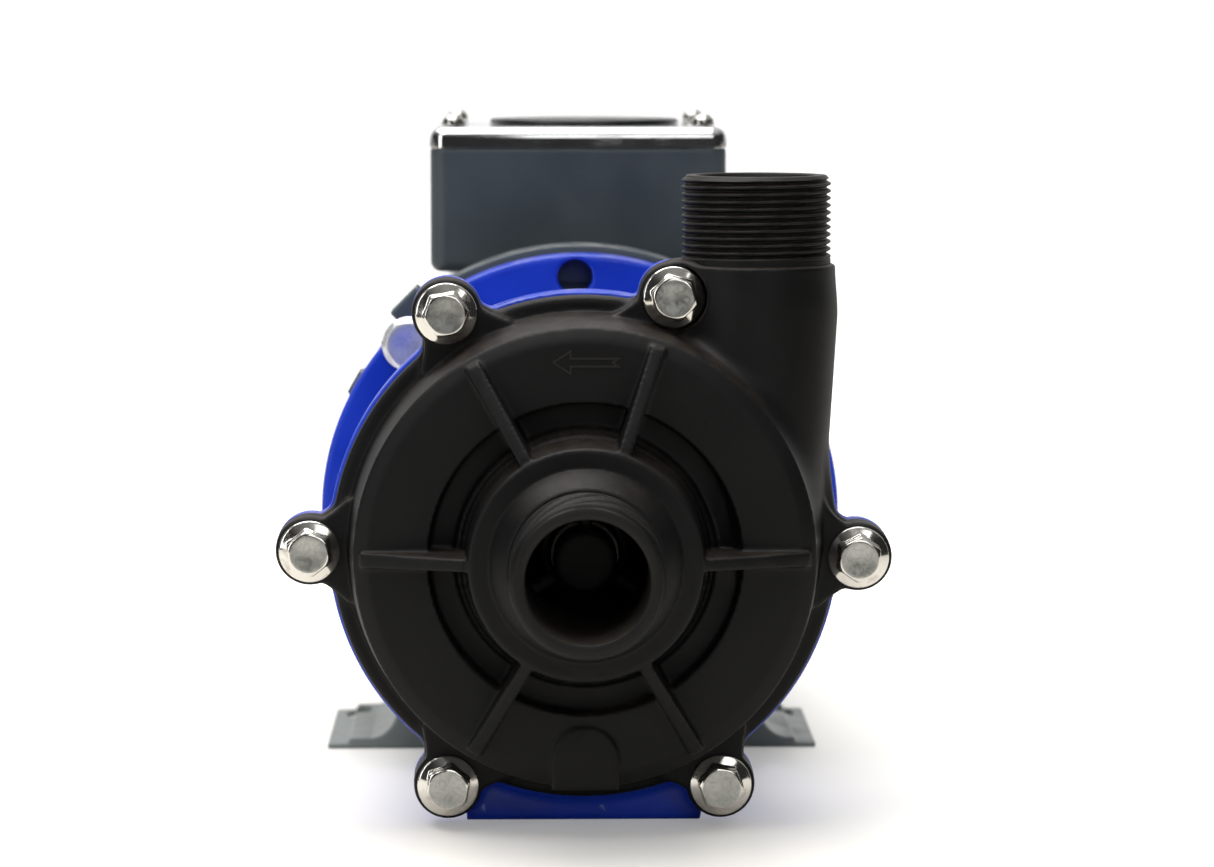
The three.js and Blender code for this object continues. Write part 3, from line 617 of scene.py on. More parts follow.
def bolt_metal(name, soil):
    """Cold-formed stainless: mirror-like flanks and a dull, mottled and slightly swirled flat top."""
    n = Nodes(name)
    facing = n.math("MULTIPLY", n.axis_of(n.geometry.outputs["Normal"], "Y"), -1.0)
    top = n.range(facing, 0.97, 0.995)
    mottle = n.noise(3.2, detail=2, roughness=0.5, distortion=2.5)
    drift = n.noise(4, detail=3)
    fine = n.noise(0.4, detail=2)
    grime = n.math("MULTIPLY", n.range(drift, 0.52, 0.72), soil)
    flank = n.mix(grime, rgb(222, 219, 212), rgb(112, 92, 74))
    face = n.mix(n.range(mottle, 0.35, 0.65), rgb(166, 168, 164), rgb(184, 184, 180))
    flank_rough = n.math("ADD", n.range(fine, 0.3, 0.7, 0.07, 0.12), n.math("MULTIPLY", grime, 0.4))
    rough = n.math("ADD", flank_rough, n.math("MULTIPLY", top, n.range(mottle, 0.3, 0.7, 0.2, 0.26)))
    height = n.math("MULTIPLY", mottle, top)
    normal = n.bump(height, 0.008, n.bump(n.noise(2.2, detail=1), 0.015))
    return n.finish(n.mix(top, flank, face), rough, metallic=1.0, normal=normal)


def plain_plastic(name, color, other, roughness):
    n = Nodes(name)
    drift = n.noise(14, detail=4)
    grain = n.noise(0.5, detail=2)
    colored = n.mix(n.range(drift, 0.3, 0.7), other, color)
    rough = n.range(drift, 0.3, 0.7, roughness, roughness + 0.12)
    return n.finish(colored, rough, normal=n.bump(grain, 0.02))


def ceramic():
    n = Nodes("ceramic")
    drift = n.noise(6, detail=4)
    colored = n.mix(n.range(drift, 0.3, 0.7), rgb(226, 219, 202), rgb(240, 236, 226))
    normal = n.bump(n.noise(0.3), 0.005)
    return n.finish(colored, n.range(drift, 0.3, 0.7, 0.18, 0.3), normal=normal, Coat_Weight=0.2)


def copper():
    n = Nodes("copper")
    strands = n.noise(1.2, detail=2, stretch=(1, 6, 1))
    colored = n.mix(n.range(strands, 0.35, 0.65), rgb(96, 44, 22), rgb(186, 104, 58))
    rough = n.range(strands, 0.3, 0.7, 0.25, 0.45)
    return n.finish(colored, rough, metallic=0.7, normal=n.bump(strands, 0.3))


def laminated(name):
    """A stack of thin punched sheets along the shaft."""
    n = Nodes(name)
    wave = n.tree.nodes.new("ShaderNodeTexWave")
    wave.bands_direction = "Y"
    wave.inputs["Scale"].default_value = 1 / (1.0 * MM) / 6.283
    wave.inputs["Distortion"].default_value = 0.4
    n.link(n.place, wave.inputs["Vector"])
    sheet = wave.outputs["Fac"]
    colored = n.mix(sheet, rgb(70, 72, 76), rgb(128, 131, 136))
    return n.finish(colored, n.range(sheet, 0, 1, 0.5, 0.35), metallic=0.85, normal=n.bump(sheet, 0.1))


def polished_sheet():
    """Polished cover sheet: bright, with hairline scratches and faint smears."""
    n = Nodes("polished_sheet")
    hair = n.noise(0.35, detail=2, stretch=(0.08, 1, 1))
    smear = n.noise(18, detail=5, roughness=0.65)
    rough = n.math("ADD", n.range(hair, 0.45, 0.7, 0.07, 0.14), n.range(smear, 0.45, 0.75, 0.0, 0.12))
    colored = n.mix(n.range(smear, 0.4, 0.8), rgb(232, 233, 234), rgb(214, 213, 210))
    return n.finish(colored, rough, metallic=1.0, normal=n.bump(hair, 0.004))


MATERIALS = {
    "casing": moulded_black(),
    # The third colour of each paint goes on its convex edges: partly rubbed paint, partly a painted edge
    # highlight, lavender on the blue.
    "blue": painted("blue_paint", rgb(0, 58, 196), rgb(0, 50, 180), rgb(132, 146, 226), 0.3),
    "slate": painted("slate_paint", rgb(63, 72, 78), rgb(54, 63, 69), rgb(120, 128, 132), 0.36),
    "foot": painted("foot_paint", rgb(126, 134, 132), rgb(104, 112, 111), rgb(176, 178, 176), 0.3),
    "bolt": bolt_metal("stainless_bolt", 0.3),
    "plated_bolt": metal("plated_bolt", rgb(236, 237, 240), rgb(214, 216, 222), 0.34, 0.5, soil=0.12),
    "screw": metal("plated_screw", rgb(212, 210, 204), rgb(170, 168, 162), 0.12, 0.6, soil=0.4),
    "steel": metal("ground_steel", rgb(176, 179, 182), rgb(140, 143, 147), 0.25, 0.3, stretch=(1, 0.1, 1)),
    "magnet": metal("magnet", rgb(150, 150, 154), rgb(110, 110, 114), 0.3, 0.6),
    "iron": metal("machined_iron", rgb(116, 118, 120), rgb(86, 88, 90), 0.42, 0.6, soil=0.4),
    "aluminium": metal("aluminium_sheet", rgb(196, 198, 200), rgb(178, 180, 182), 0.3, 0.3,
                       stretch=(1, 0.06, 1)),
    "laminations": laminated("laminations"),
    "copper": copper(),
    "ceramic": ceramic(),
    "polished": polished_sheet(),
    "rubber": plain_plastic("rubber", rgb(28, 29, 30), rgb(20, 21, 22), 0.68),
    "carbon": plain_plastic("carbon", rgb(46, 46, 48), rgb(34, 34, 36), 0.42),
    "plastic": plain_plastic("moulded_plastic", rgb(44, 46, 49), rgb(34, 36, 38), 0.46),
    "disc": plain_plastic("disc_plastic", rgb(26, 26, 27), rgb(18, 18, 19), 0.3),
}

# ---- Casing ----

CASING_STEP = 0.8
SPIGOT_R = 75.9
CAN_SEAT = -6.3
FLANGE_R = 81.2
FLANGE_FACE = -24.4
RIB_ANGLES = (0, 71, 120, 180, 240, 300)
PLATEAU = 52.7
RECESS_FLOOR = 44.7
HUB_FACE = 67.7
NOZZLE_ROOT = 75.0
PORT_R = 19.0
THREAD_R = 23.9
THREAD_PITCH = 2.309
THREAD_DEPTH = 1.35
THREAD_START = DISCHARGE_TOP - 28.1
DISCHARGE_X = 55.2
DISCHARGE_Y = -17.0
THROAT_R = 8.5
THROAT_TOP = 66.0
THROAT_SHIFT = 13.4
LUG_R = 11.0
BOLT_HOLE_R = 4.4


def lug_outline(i, radius, root=18.5):
    """Outline of the lug at a casing bolt, with its webs."""
    return turned_outline(lug_web(radius, root) - (BOLT_CIRCLE - LUG_RADII[i], 0), LUG_ANGLES[i])


def lug_web(radius, root):
    """Outline of a lug and its webs, drawn towards +X from inside the flange."""
    spread = 105
    sweep = radius + 1.5
    start = arc(BOLT_CIRCLE, 0, radius, -spread, spread, 19)
    curve = [quadratic((75.5, -root), (80.5, -sweep), start[0], t) for t in np.linspace(0, 0.9, 6)]
    mirrored = [(u, -v) for u, v in reversed(curve)]
    return np.array([(66, -root - 2), *curve, *start, *mirrored, (66, root + 2)])


def quadratic(a, b, c, t):
    """A point on a curve that leaves a towards b and arrives at c."""
    a, b, c = (np.asarray(p, float) for p in (a, b, c))
    return a * (1 - t) ** 2 + b * 2 * t * (1 - t) + c * t * t


def around_lug(i, reach, y0, y1):
    """The window corners round a casing bolt."""
    x, z = LUG_CENTRES[i]
    return (x - reach, y0, z - reach), (x + reach, y1, z + reach)


def casing_body_outline():
    return filleted([
        (-60, CAN_SEAT, 0), (SPIGOT_R, CAN_SEAT, 0.4), (SPIGOT_R, JOINT, 0), (FLANGE_R, JOINT, 0.3),
        (80.9, FLANGE_FACE, 1.8), (75.9, FLANGE_FACE, 1.0), (72.8, -50.4, 0.5), (68.3, -PLATEAU, 5.0),
        (49.2, -PLATEAU, 0.5), (49.2, -RECESS_FLOOR, 1.2), (41.2, -RECESS_FLOOR, 1.0), (40.8, -47.6, 0.5),
        (39.4, -47.8, 0.4), (39.0, -50.6, 0.5), (37.9, -50.8, 0.4), (36.6, -HUB_FACE, 1.2),
        (30.3, -HUB_FACE, 0.25), (29.9, -HUB_FACE - 0.7, 0.2), (25.4, -74.2, 0.8),
        (24.9, -NOZZLE_ROOT, 0.3), (22.0, -NOZZLE_ROOT, 0), (22.0, -NOZZLE_ROOT - 1.4, 0),
        (-60, -NOZZLE_ROOT - 1.4, 0),
    ])


def chamber_outline():
    """The hollow that the impeller turns in."""
    return filleted([
        (-60, 4, 0), (66.5, 4, 0), (66.5, -46.5, 5), (56, -46.5, 3),
        (52, -38.7, 2), (31, -38.7, 0.5), (31, -31, 0.5), (26, -31, 0.5), (26, -40, 0.5), (PORT_R, -42, 0.5),
        (-60, -42, 0),
    ])


def add_lugs(grid):
    """Bosses at the casing bolts, their webs in the flange and the narrower gussets in front of it."""
    for i, (x, z) in enumerate(LUG_CENTRES):
        near = grid.window(*around_lug(i, 27, LUG_FACE - 2, JOINT + 2))
        near.add(across_shape(near, lug_outline(i, LUG_R), FLANGE_FACE, JOINT, edge=0.9), 1.2)
        near.add(across_shape(near, lug_outline(i, LUG_R - 1.0, 16.5), LUG_FACE, JOINT, edge=0.7), 0.8)
        near.add(bar_shape(near, x, z, LUG_R, LUG_FACE, JOINT, edge=1.1), 0.8)


def add_discharge(grid):
    """The discharge pipe and the fairing over its throat, kept clear of the adapter behind."""
    near = grid.window((22, -60, -22), (86, 18, THREAD_START + 3))
    pipe = upright_shape(near, filleted([
        (-60, -14, 0), (13, -12, 10), (22.3, 6, 12), (25.4, THREAD_START - 0.4, 0.9), (22, THREAD_START, 0),
        (22, THREAD_START + 1.4, 0), (-60, THREAD_START + 1.4, 0),
    ]), DISCHARGE_X, DISCHARGE_Y)
    fairing = cone_shape(near, (DISCHARGE_X - 1, -30, 6), (DISCHARGE_X, DISCHARGE_Y, 74), 18.5, 24.6)
    both = soft_min(pipe, fairing, 6)
    adapter_room = np.maximum(np.hypot(near.x, near.z) - 83.2, JOINT - near.y)
    lug_room = across_shape(near, lug_outline(1, LUG_R + 1.5), JOINT, 60, edge=0)
    both = np.maximum(both, -np.minimum(adapter_room, lug_room))
    near.add(both, 6)
    head_room = grid.window(*around_lug(1, 14, -60, LUG_FACE + 2))
    head_room.cut(bar_shape(head_room, *LUG_CENTRES[1], 10.5, -70, LUG_FACE, edge=0), 0.8)


def add_rib(grid, angle):
    """A drafted radial rib, from the rim up to the front edge of the hub."""
    a = math.radians(angle)
    near = grid.window(*rib_corners(angle))
    x, z = near.axes[0][:, None], near.axes[2][None, :]
    out, side = x * math.cos(a) + z * math.sin(a), -x * math.sin(a) + z * math.cos(a)
    outline = filleted([
        (35, -40, 0), (71.3, -40, 0), (70.7, -PLATEAU - 0.9, 1.5), (38.2, -HUB_FACE + 1.4, 1.5),
        (35, -HUB_FACE + 1.4, 0),
    ])
    lengthwise = swept(out, near.axes[1], outline).transpose(0, 2, 1)
    thickness = np.abs(side)[:, None, :] - 2.0 - 0.025 * (near.y + HUB_FACE)
    near.add(rounded_pair(lengthwise, thickness, 0.35), 0.9)


def rib_corners(angle):
    a = math.radians(angle)
    inner, outer = (33 * math.cos(a), 33 * math.sin(a)), (74 * math.cos(a), 74 * math.sin(a))
    low = (min(inner[0], outer[0]) - 5, -HUB_FACE - 3, min(inner[1], outer[1]) - 5)
    high = (max(inner[0], outer[0]) + 5, -38, max(inner[1], outer[1]) + 5)
    return low, high


def add_drain_pad(grid):
    """The blank arched pad at the bottom of the volute."""
    width, arch_z = 10.5, -63.5
    outline = [*arc(0, arch_z, width, 0, 180, 19), (-width - 0.3, -73), (width + 0.3, -73)]
    near = grid.window((-16, -58, -80), (16, -26, -48))
    near.add(across_shape(near, outline, -PLATEAU - 1.3, -40, edge=0.25), 0.1)


def cut_casing_hollows(grid):
    grid.cut(turned_shape(grid, chamber_outline()), 0.6)
    port = grid.window((-24, -90, -24), (24, -36, 24))
    port.cut(bar_shape(port, 0, 0, PORT_R, -100, -36, edge=0))
    pipe = grid.window((30, -50, 0), (80, 16, THREAD_START + 4))
    top = (DISCHARGE_X, DISCHARGE_Y, THREAD_START + 14)
    knee = (DISCHARGE_X, DISCHARGE_Y, THREAD_START + 1)
    throat = (DISCHARGE_X, DISCHARGE_Y - THROAT_SHIFT, THROAT_TOP)
    pipe.cut(cone_shape(pipe, knee, top, PORT_R, PORT_R), 0)
    pipe.cut(cone_shape(pipe, throat, knee, THROAT_R, PORT_R), 3)
    pipe.cut(cone_shape(pipe, (DISCHARGE_X, DISCHARGE_Y - THROAT_SHIFT, 14), throat, THROAT_R, THROAT_R), 3)
    for x, z in LUG_CENTRES:
        near = grid.window((x - 7, -LUG_FACE - 90, z - 7), (x + 7, 10, z + 7))
        near.cut(bar_shape(near, x, z, BOLT_HOLE_R, LUG_FACE - 6, 10, edge=0))


def add_spindle_support(grid):
    """Three arms in the suction port that hold the front of the spindle."""
    near = grid.window((-22, -60, -22), (22, -36, 22))
    hub = bar_shape(near, 0, 0, 10, -57, -39.8, edge=1.5)
    for angle in (90, 210, 330):
        a = math.radians(angle)
        out = near.x * math.cos(a) + near.z * math.sin(a)
        side = np.abs(-near.x * math.sin(a) + near.z * math.cos(a)) - 2
        length = np.maximum(np.maximum(5 - out, out - 21), np.abs(near.y + 50) - 5)
        hub = soft_min(hub, rounded_pair(side, length, 0.8), 1.5)
    near.add(hub, 1.0)
    near.cut(bar_shape(near, 0, 0, 7.3, -52, -38, edge=0))


def front_casing():
    low, high = box_mm("front_casing")
    grid = Grid((low[0] - 3, -NOZZLE_ROOT - 4, low[2] - 3), (high[0] + 3, 12, THREAD_START + 4), CASING_STEP)
    grid.add(turned_shape(grid, casing_body_outline()))
    add_lugs(grid)
    add_discharge(grid)
    for angle in RIB_ANGLES:
        add_rib(grid, angle)
    add_drain_pad(grid)
    cut_casing_hollows(grid)
    add_spindle_support(grid)
    casing = field_object("casing_shell", grid, keep=0.36)
    return finish_piece(casing, "casing", "front_casing")


def threaded_tube(name, start, end, toward, centre):
    """A male pipe thread on an open tube; it runs out at its root and is chamfered at its tip."""
    rows = int((end - start) / (THREAD_PITCH / 10))
    around = 120
    heights = np.linspace(0, end - start, rows)
    turns = np.linspace(0, 1, around, endpoint=False)
    phase = heights[:, None] / THREAD_PITCH - turns[None, :]
    ridge = np.abs((phase % 1.0) * 2 - 1)
    crest = np.clip((ridge - 0.16) / 0.62, 0, 1)
    root_fade = np.clip((heights - 1.2) / 2.0, 0, 1)[:, None]
    depth = THREAD_DEPTH * (1 - crest) * root_fade
    chamfer = np.clip(1.5 - (heights[-1] - heights), 0, 1.5)[:, None] * 1.05
    radius = np.minimum(THREAD_R - depth, THREAD_R - chamfer)
    outer = [loop_at(radius[i], turns, heights[i]) for i in range(rows)]
    lip = [loop_at(np.full(around, PORT_R + c), turns, heights[-1] - d) for c, d in ((0.5, 0.0), (0.0, 0.5))]
    bottom = [loop_at(np.full(around, PORT_R - 0.02), turns, 0.0)]
    loops = [np.array(loop) for loop in (*outer, *lip, *bottom)]
    placed = [toward(loop, start) + np.asarray(centre, float) for loop in loops]
    n = around
    faces = [
        [row * n + j, row * n + (j + 1) % n, ((row + 1) % len(placed)) * n + (j + 1) % n,
         ((row + 1) % len(placed)) * n + j]
        for row in range(len(placed)) for j in range(n)
    ]
    tube = new_object(name, np.concatenate(placed), faces)
    shade_by_angle(tube, 50)
    return finish_piece(tube, "casing")


def loop_at(radius, turns, height):
    angle = turns * 2 * math.pi
    return np.column_stack([radius * np.cos(angle), radius * np.sin(angle), np.full(len(turns), height)])


def pointing_up(loop, start):
    return loop + np.array([0, 0, start])


def pointing_forward(loop, start):
    """Turns a loop drawn along +Z to run along -Y."""
    return np.column_stack([loop[:, 0], -(loop[:, 2] + start), loop[:, 1]])


def turn_arrow():
    """The raised outline arrow that shows the way the impeller turns."""
    tip, tail, half, head, middle = -10.7, 11.4, 1.6, 4.2, 62.0
    neck = tip + 6.5
    outer = np.array([
        (tip, middle), (neck, middle + head), (neck, middle + half), (tail, middle + half),
        (tail - 2.2, middle), (tail, middle - half), (neck, middle - half), (neck, middle - head),
    ])
    inner = inset(outer, 0.75)
    top, low = -PLATEAU - 0.22, -PLATEAU + 0.5
    slope = 0.15
    loops = [(outer, low), (inset(outer, slope), top), (inset(inner, -slope), top), (inner, low)]
    placed = [np.column_stack([o[:, 0], np.full(len(o), y), o[:, 1]]) for o, y in loops]
    n = len(outer)
    faces = [
        [row * n + j, ((row + 1) % 4) * n + j, ((row + 1) % 4) * n + (j + 1) % n, row * n + (j + 1) % n]
        for row in range(4) for j in range(n)
    ]
    arrow = new_object("turn_arrow", np.concatenate(placed), faces, smooth=False)
    return finish_piece(arrow, "casing")


def inset(outline, distance):
    """An outline moved inward by a distance, corner by corner."""
    ahead = np.roll(outline, -1, axis=0) - outline
    ahead /= np.linalg.norm(ahead, axis=1)[:, None]
    back = np.roll(ahead, 1, axis=0)
    normal_a = np.column_stack([-ahead[:, 1], ahead[:, 0]])
    normal_b = np.column_stack([-back[:, 1], back[:, 0]])
    bisector = normal_a + normal_b
    area = np.sum(outline[:, 0] * np.roll(outline[:, 1], -1) - np.roll(outline[:, 0], -1) * outline[:, 1])
    scale = 2 / np.sum(bisector * bisector, axis=1)
    return outline + bisector * scale[:, None] * distance * math.copysign(1, area)

# ---- Fasteners ----


def hexagon(grid, across_flats):
    """Distance to a hexagonal prism along y about the grid's origin."""
    turns = [math.radians(a) for a in (30, 90, 150)]
    faces = [np.abs(grid.x * math.cos(a) + grid.z * math.sin(a)) for a in turns]
    return np.maximum(np.maximum(faces[0], faces[1]), faces[2]) - across_flats / 2


def hex_head(grid, across_flats, y0, y1, dish):
    """A hexagonal head between two heights, chamfered and slightly dished at its y0 end."""
    middle, half = (y0 + y1) / 2, (y1 - y0) / 2
    head = rounded_pair(hexagon(grid, across_flats), np.abs(grid.y - middle) - half, 0.3)
    radius = np.hypot(grid.x, grid.z)
    chamfer = 0.5 * (radius - across_flats * 0.475) - 0.866 * (grid.y - y0)
    head = -soft_min(-head, -chamfer, 0.25)
    ball_r = (across_flats * 0.33) ** 2 / (2 * dish)
    hollow = np.sqrt(radius ** 2 + (grid.y - y0 + ball_r - dish) ** 2) - ball_r
    return -soft_min(-head, hollow, 0.3)


def hex_bolt_mesh(across_flats, flange_outline, height, shank_r, shank_length, step):
    """A hex bolt about the origin with its head towards -Y, its flange or washer seated at y = 0."""
    reach = max(r for r, _ in flange_outline) + 1.2
    grid = Grid((-reach, -height - 1.2, -reach), (reach, shank_length + 1.2, reach), step)
    grid.add(hex_head(grid, across_flats, -height, -0.5, dish=0.35))
    grid.add(turned_shape(grid, flange_outline), 0.35)
    grid.add(bar_shape(grid, 0, 0, shank_r, -0.5, shank_length, edge=0.6))
    return surface_of(grid)


def pan_screw_mesh(head_r, height, shank_r, shank_length):
    """A pan-head screw about the origin with a cross recess, its head towards -Y, seated at y = 0."""
    reach = head_r + 0.8
    grid = Grid((-reach, -height - 0.8, -reach), (reach, shank_length + 0.8, reach), 0.25)
    grid.add(turned_shape(grid, filleted([
        (-20, 0, 0), (head_r, 0, 0.2), (head_r, -0.55 * height, 0.5 * height), (0.55 * head_r, -height, 1.2),
        (-20, -height, 0),
    ])))
    grid.add(bar_shape(grid, 0, 0, shank_r, -0.3, shank_length, edge=0.5))
    depth = np.maximum(grid.y + height - 1.3, 0)
    for long, across in ((grid.x, grid.z), (grid.z, grid.x)):
        slot = np.maximum(np.abs(long) - 0.55 * head_r, np.abs(across) - 0.16 * head_r)
        grid.cut(rounded_pair(slot + 0.35 * (grid.y + height), depth, 0.1), 0.15)
    return surface_of(grid)


def turn_about_shaft(degrees):
    """The rotation that turns +X towards +Z by an angle."""
    a = math.radians(degrees)
    return np.array([[math.cos(a), 0, -math.sin(a)], [0, 1, 0], [math.sin(a), 0, math.cos(a)]])


def placed(name, mesh, turn, place):
    """An object from a mesh made about the origin, turned and moved to its place."""
    vertices, faces = mesh
    return new_object(name, vertices @ np.asarray(turn, float).T + np.asarray(place, float), faces)


HEAD_UP = np.array([[1, 0, 0], [0, 0, 1], [0, -1, 0]])


def casing_bolts():
    flange = filleted([(-20, 0, 0), (9.85, 0, 0.25), (9.85, -1.1, 0.4), (6.8, -2.3, 0.5), (-20, -2.3, 0)])
    shank_length = box_mm("casing_bolt_1")[1][1] - BOLT_SEAT
    mesh = hex_bolt_mesh(13, flange, HEAD_HEIGHT, 4, shank_length, 0.3)
    turns = (26, 45, 10, 38, 20, 50)
    for i, ((x, z), turn) in enumerate(zip(LUG_CENTRES, turns), 1):
        bolt = placed(f"casing_bolt_{i}_fine", mesh, turn_about_shaft(turn), (x, BOLT_SEAT, z))
        finish_piece(bolt, "bolt", f"casing_bolt_{i}")


def adapter_bolts():
    low, high = box_mm("adapter_bolt_1")
    washer = filleted([(-20, 0, 0), (9.4, 0, 0.2), (9.4, -1.3, 0.25), (-20, -1.3, 0)])
    height = 6.4
    mesh = hex_bolt_mesh(16, washer, height, 5, high[1] - low[1] - height, 0.35)
    for i, ((x, z), turn) in enumerate(zip(MOTOR_BOLTS, (18, 5, 40, 27)), 1):
        bolt = placed(f"adapter_bolt_{i}_fine", mesh, turn_about_shaft(turn), (x, low[1] + height, z))
        finish_piece(bolt, "plated_bolt", f"adapter_bolt_{i}")


def lid_screws():
    low, high = box_mm("lid_screw_1")
    height = 4.0
    mesh = pan_screw_mesh(4, height, 2, high[2] - low[2] - height)
    for i, turn in enumerate((20, 65, 8, 41), 1):
        place = (*centre_mm(f"lid_screw_{i}")[:2], high[2] - height)
        screw = placed(f"lid_screw_{i}_fine", mesh, HEAD_UP @ turn_about_shaft(turn), place)
        finish_piece(screw, "screw", f"lid_screw_{i}")


def cowl_screws():
    cowl_r = box_mm("fan_cowl")[1][0]
    mesh = pan_screw_mesh(4, 2.6, 2, 9)
    for i in range(1, 4):
        x, y, z = centre_mm(f"cowl_screw_{i}")
        angle = math.atan2(z, x)
        out = np.array([math.cos(angle), 0, math.sin(angle)])
        side = np.array([-math.sin(angle), 0, math.cos(angle)])
        turn = np.column_stack([side, -out, np.cross(side, -out)])
        screw = placed(f"cowl_screw_{i}_fine", mesh, turn, out * (cowl_r + CONTACT_GAP) + (0, y, 0))
        finish_piece(screw, "screw", f"cowl_screw_{i}")

# ---- Adapter ----

ADAPTER_STEP = 0.8
ADAPTER_R = 82.2
LUG_BACK = -13.0
PLATE_R = 89.0
PLATE_FRONT = PLATE_BACK - 12.0
SHIELD_SEAT_R = 65.1
SHIELD_SEAT_Y = PLATE_BACK - 4.7
ADAPTER_BORE_R = 57.0
MOTOR_BOLT_HOLE_R = 5.4
SPARE_HOLE_R = 6.0
FOOT_HALF_WIDTH = 38.0


def adapter_outline():
    return filleted([
        (ADAPTER_BORE_R, CONTACT_GAP, 0.3), (70, CONTACT_GAP, 0), (70, JOINT + CONTACT_GAP, 0),
        (ADAPTER_R, JOINT + CONTACT_GAP, 0.7), (ADAPTER_R, -6, 1), (79.5, -3, 1.5), (79.5, 8, 2),
        (72, 14, 4), (67, 24, 8), (66, 40, 8), (68, 60, 6), (71, PLATE_FRONT, 4),
        (PLATE_R, PLATE_FRONT, 1.6), (PLATE_R, PLATE_BACK, 0.8), (SHIELD_SEAT_R, PLATE_BACK, 0.5),
        (SHIELD_SEAT_R, SHIELD_SEAT_Y, 0.3), (ADAPTER_BORE_R, SHIELD_SEAT_Y, 0.3),
    ])


def motor_adapter():
    low, high = box_mm("motor_adapter")
    corners = (low[0] - 3, JOINT - 2, low[2] - 3), (high[0] + 3, PLATE_BACK + 3, high[2] + 3)
    grid = Grid(*corners, ADAPTER_STEP)
    grid.add(turned_shape(grid, adapter_outline()))
    for i in range(len(LUG_CENTRES)):
        near = grid.window(*around_lug(i, 27, JOINT - 2, LUG_BACK + 2))
        lug = across_shape(near, lug_outline(i, LUG_R + 0.3), JOINT + CONTACT_GAP, LUG_BACK, edge=0.7)
        near.add(lug, 1.5)
    foot = grid.window((-43, JOINT - 2, FLOOR - 3), (43, 18, -50))
    side = FOOT_HALF_WIDTH
    block = [(-side, FLOOR), (side, FLOOR), (side, -84), (30, -60), (-30, -60), (-side, -84)]
    foot.add(across_shape(foot, block, low[1] + 1.7, 12, edge=1.8), 3)
    grid.cut(bar_shape(grid, 0, 0, SPIGOT_R + CONTACT_GAP, JOINT - 5, CONTACT_GAP, edge=0), 0.3)
    grid.cut(bar_shape(grid, 0, 0, ADAPTER_BORE_R, -5, PLATE_BACK + 5, edge=0), 0.5)
    for x, z in LUG_CENTRES:
        near = grid.window((x - 7, JOINT - 2, z - 7), (x + 7, 0, z + 7))
        near.cut(bar_shape(near, x, z, BOLT_HOLE_R, JOINT - 5, 5, edge=0))
    spare = arc(0, 0, float(np.hypot(*MOTOR_BOLTS[0])) - 1.3, 91.2, 91.2, 1)[0]
    holes = [(x, z, MOTOR_BOLT_HOLE_R) for x, z in MOTOR_BOLTS] + [(*spare, SPARE_HOLE_R)]
    for x, z, radius in holes:
        near = grid.window((x - 9, 55, z - 9), (x + 9, PLATE_BACK + 3, z + 9))
        near.cut(bar_shape(near, x, z, radius, 55, PLATE_BACK + 5, edge=0), 0.6)
    cast = field_object("adapter_casting", grid, keep=0.4)
    finish_piece(cast, "blue", "motor_adapter")

# ---- Motor ----

MOTOR_STEP = 0.8
SHIELD_R = 88.5
SHIELD_CREST_R = 91.7
FRAME_BORE_R = 75.5
FRAME_ROOT_R = 78.0
FIN_R = 84.0
RAIL_R = 85.5
FIN_COUNT = 32
RAIL_ANGLES = (28, 152)
MOTOR_BOLT_CIRCLE = 82.5
SHIELD_EARS = (
    (45, ((79, -13), (91, -13), (93.5, -9), (93.5, 9), (91, 13), (79, 13))),
    (135, ((79, -15), (94.5, -15), (94.5, -1.6), (89.6, -1.6), (89.6, 8), (79, 8))),
    (150.5, ((80, -4.5), (90, -4.5), (90, 4.5), (80, 4.5))),
)


def front_end_shield():
    low, high = box_mm("front_end_shield")
    grid = Grid(low - 3, high + 3, MOTOR_STEP)
    face, back = MOTOR_FACE, high[1]
    grid.add(turned_shape(grid, filleted([
        (13.5, low[1], 0.3), (SHIELD_SEAT_R - 0.3, low[1], 0.5), (SHIELD_SEAT_R - 0.3, face, 0.3),
        (SHIELD_R, face, 1.2), (SHIELD_R, back - 4, 1.5), (SHIELD_R - 2, back - 2, 0.8),
        (77, back - 2, 0.8), (77, face + 10, 1),
        (32, face + 8, 2), (32, back, 1), (26.6, back, 0.3), (26.6, 85.7, 0.3), (13.5, 85.7, 0.3),
    ])))
    top = grid.window((-48, face - 3, 76), (48, high[1] + 3, high[2] + 3))
    crest = bar_shape(top, 0, 0, SHIELD_CREST_R, face, back - 4, edge=1.2)
    top.add(np.maximum(crest, np.maximum(79 - top.z, np.abs(top.x) - 46)), 2)
    for angle, corners in SHIELD_EARS:
        x, z = arc(0, 0, MOTOR_BOLT_CIRCLE, angle, angle, 1)[0]
        near = grid.window((x - 24, low[1] - 3, z - 24), (x + 24, high[1] + 3, z + 24))
        near.add(across_shape(near, turned_outline(corners, angle), face, face + 14, edge=0.9), 1)
    for x, z in MOTOR_BOLTS:
        near = grid.window((x - 8, low[1] - 3, z - 8), (x + 8, high[1] + 3, z + 8))
        near.cut(bar_shape(near, x, z, MOTOR_BOLT_HOLE_R, 70, 120, edge=0), 0.4)
    shield = field_object("front_shield_casting", grid, keep=0.5)
    finish_piece(shield, "slate", "front_end_shield")


def frame_outline():
    """The finned outline of the motor frame, with a wide flat rail on each side."""
    corners = []
    for i in range(FIN_COUNT):
        middle = 360 / FIN_COUNT * (i + 0.5)
        if any(abs(middle - rail) < 5.5 for rail in RAIL_ANGLES):
            continue
        for radius, offset, fillet in (
            (FRAME_ROOT_R, -3.0, 1.2), (FIN_R, -1.1, 0.9), (FIN_R, 1.1, 0.9), (FRAME_ROOT_R, 3.0, 1.2),
        ):
            corners.append((middle + offset, radius, fillet))
    for rail in RAIL_ANGLES:
        for radius, side, fillet in (
            (FRAME_ROOT_R, -5, 1.2), (RAIL_R, -5, 0.8), (RAIL_R, 5, 0.8), (FRAME_ROOT_R, 5, 1.2),
        ):
            corners.append((rail + math.degrees(side / radius), math.hypot(radius, side), fillet))
    corners.sort()
    return filleted([
        (radius * math.cos(math.radians(a)), radius * math.sin(math.radians(a)), fillet)
        for a, radius, fillet in corners
    ], segments=3)


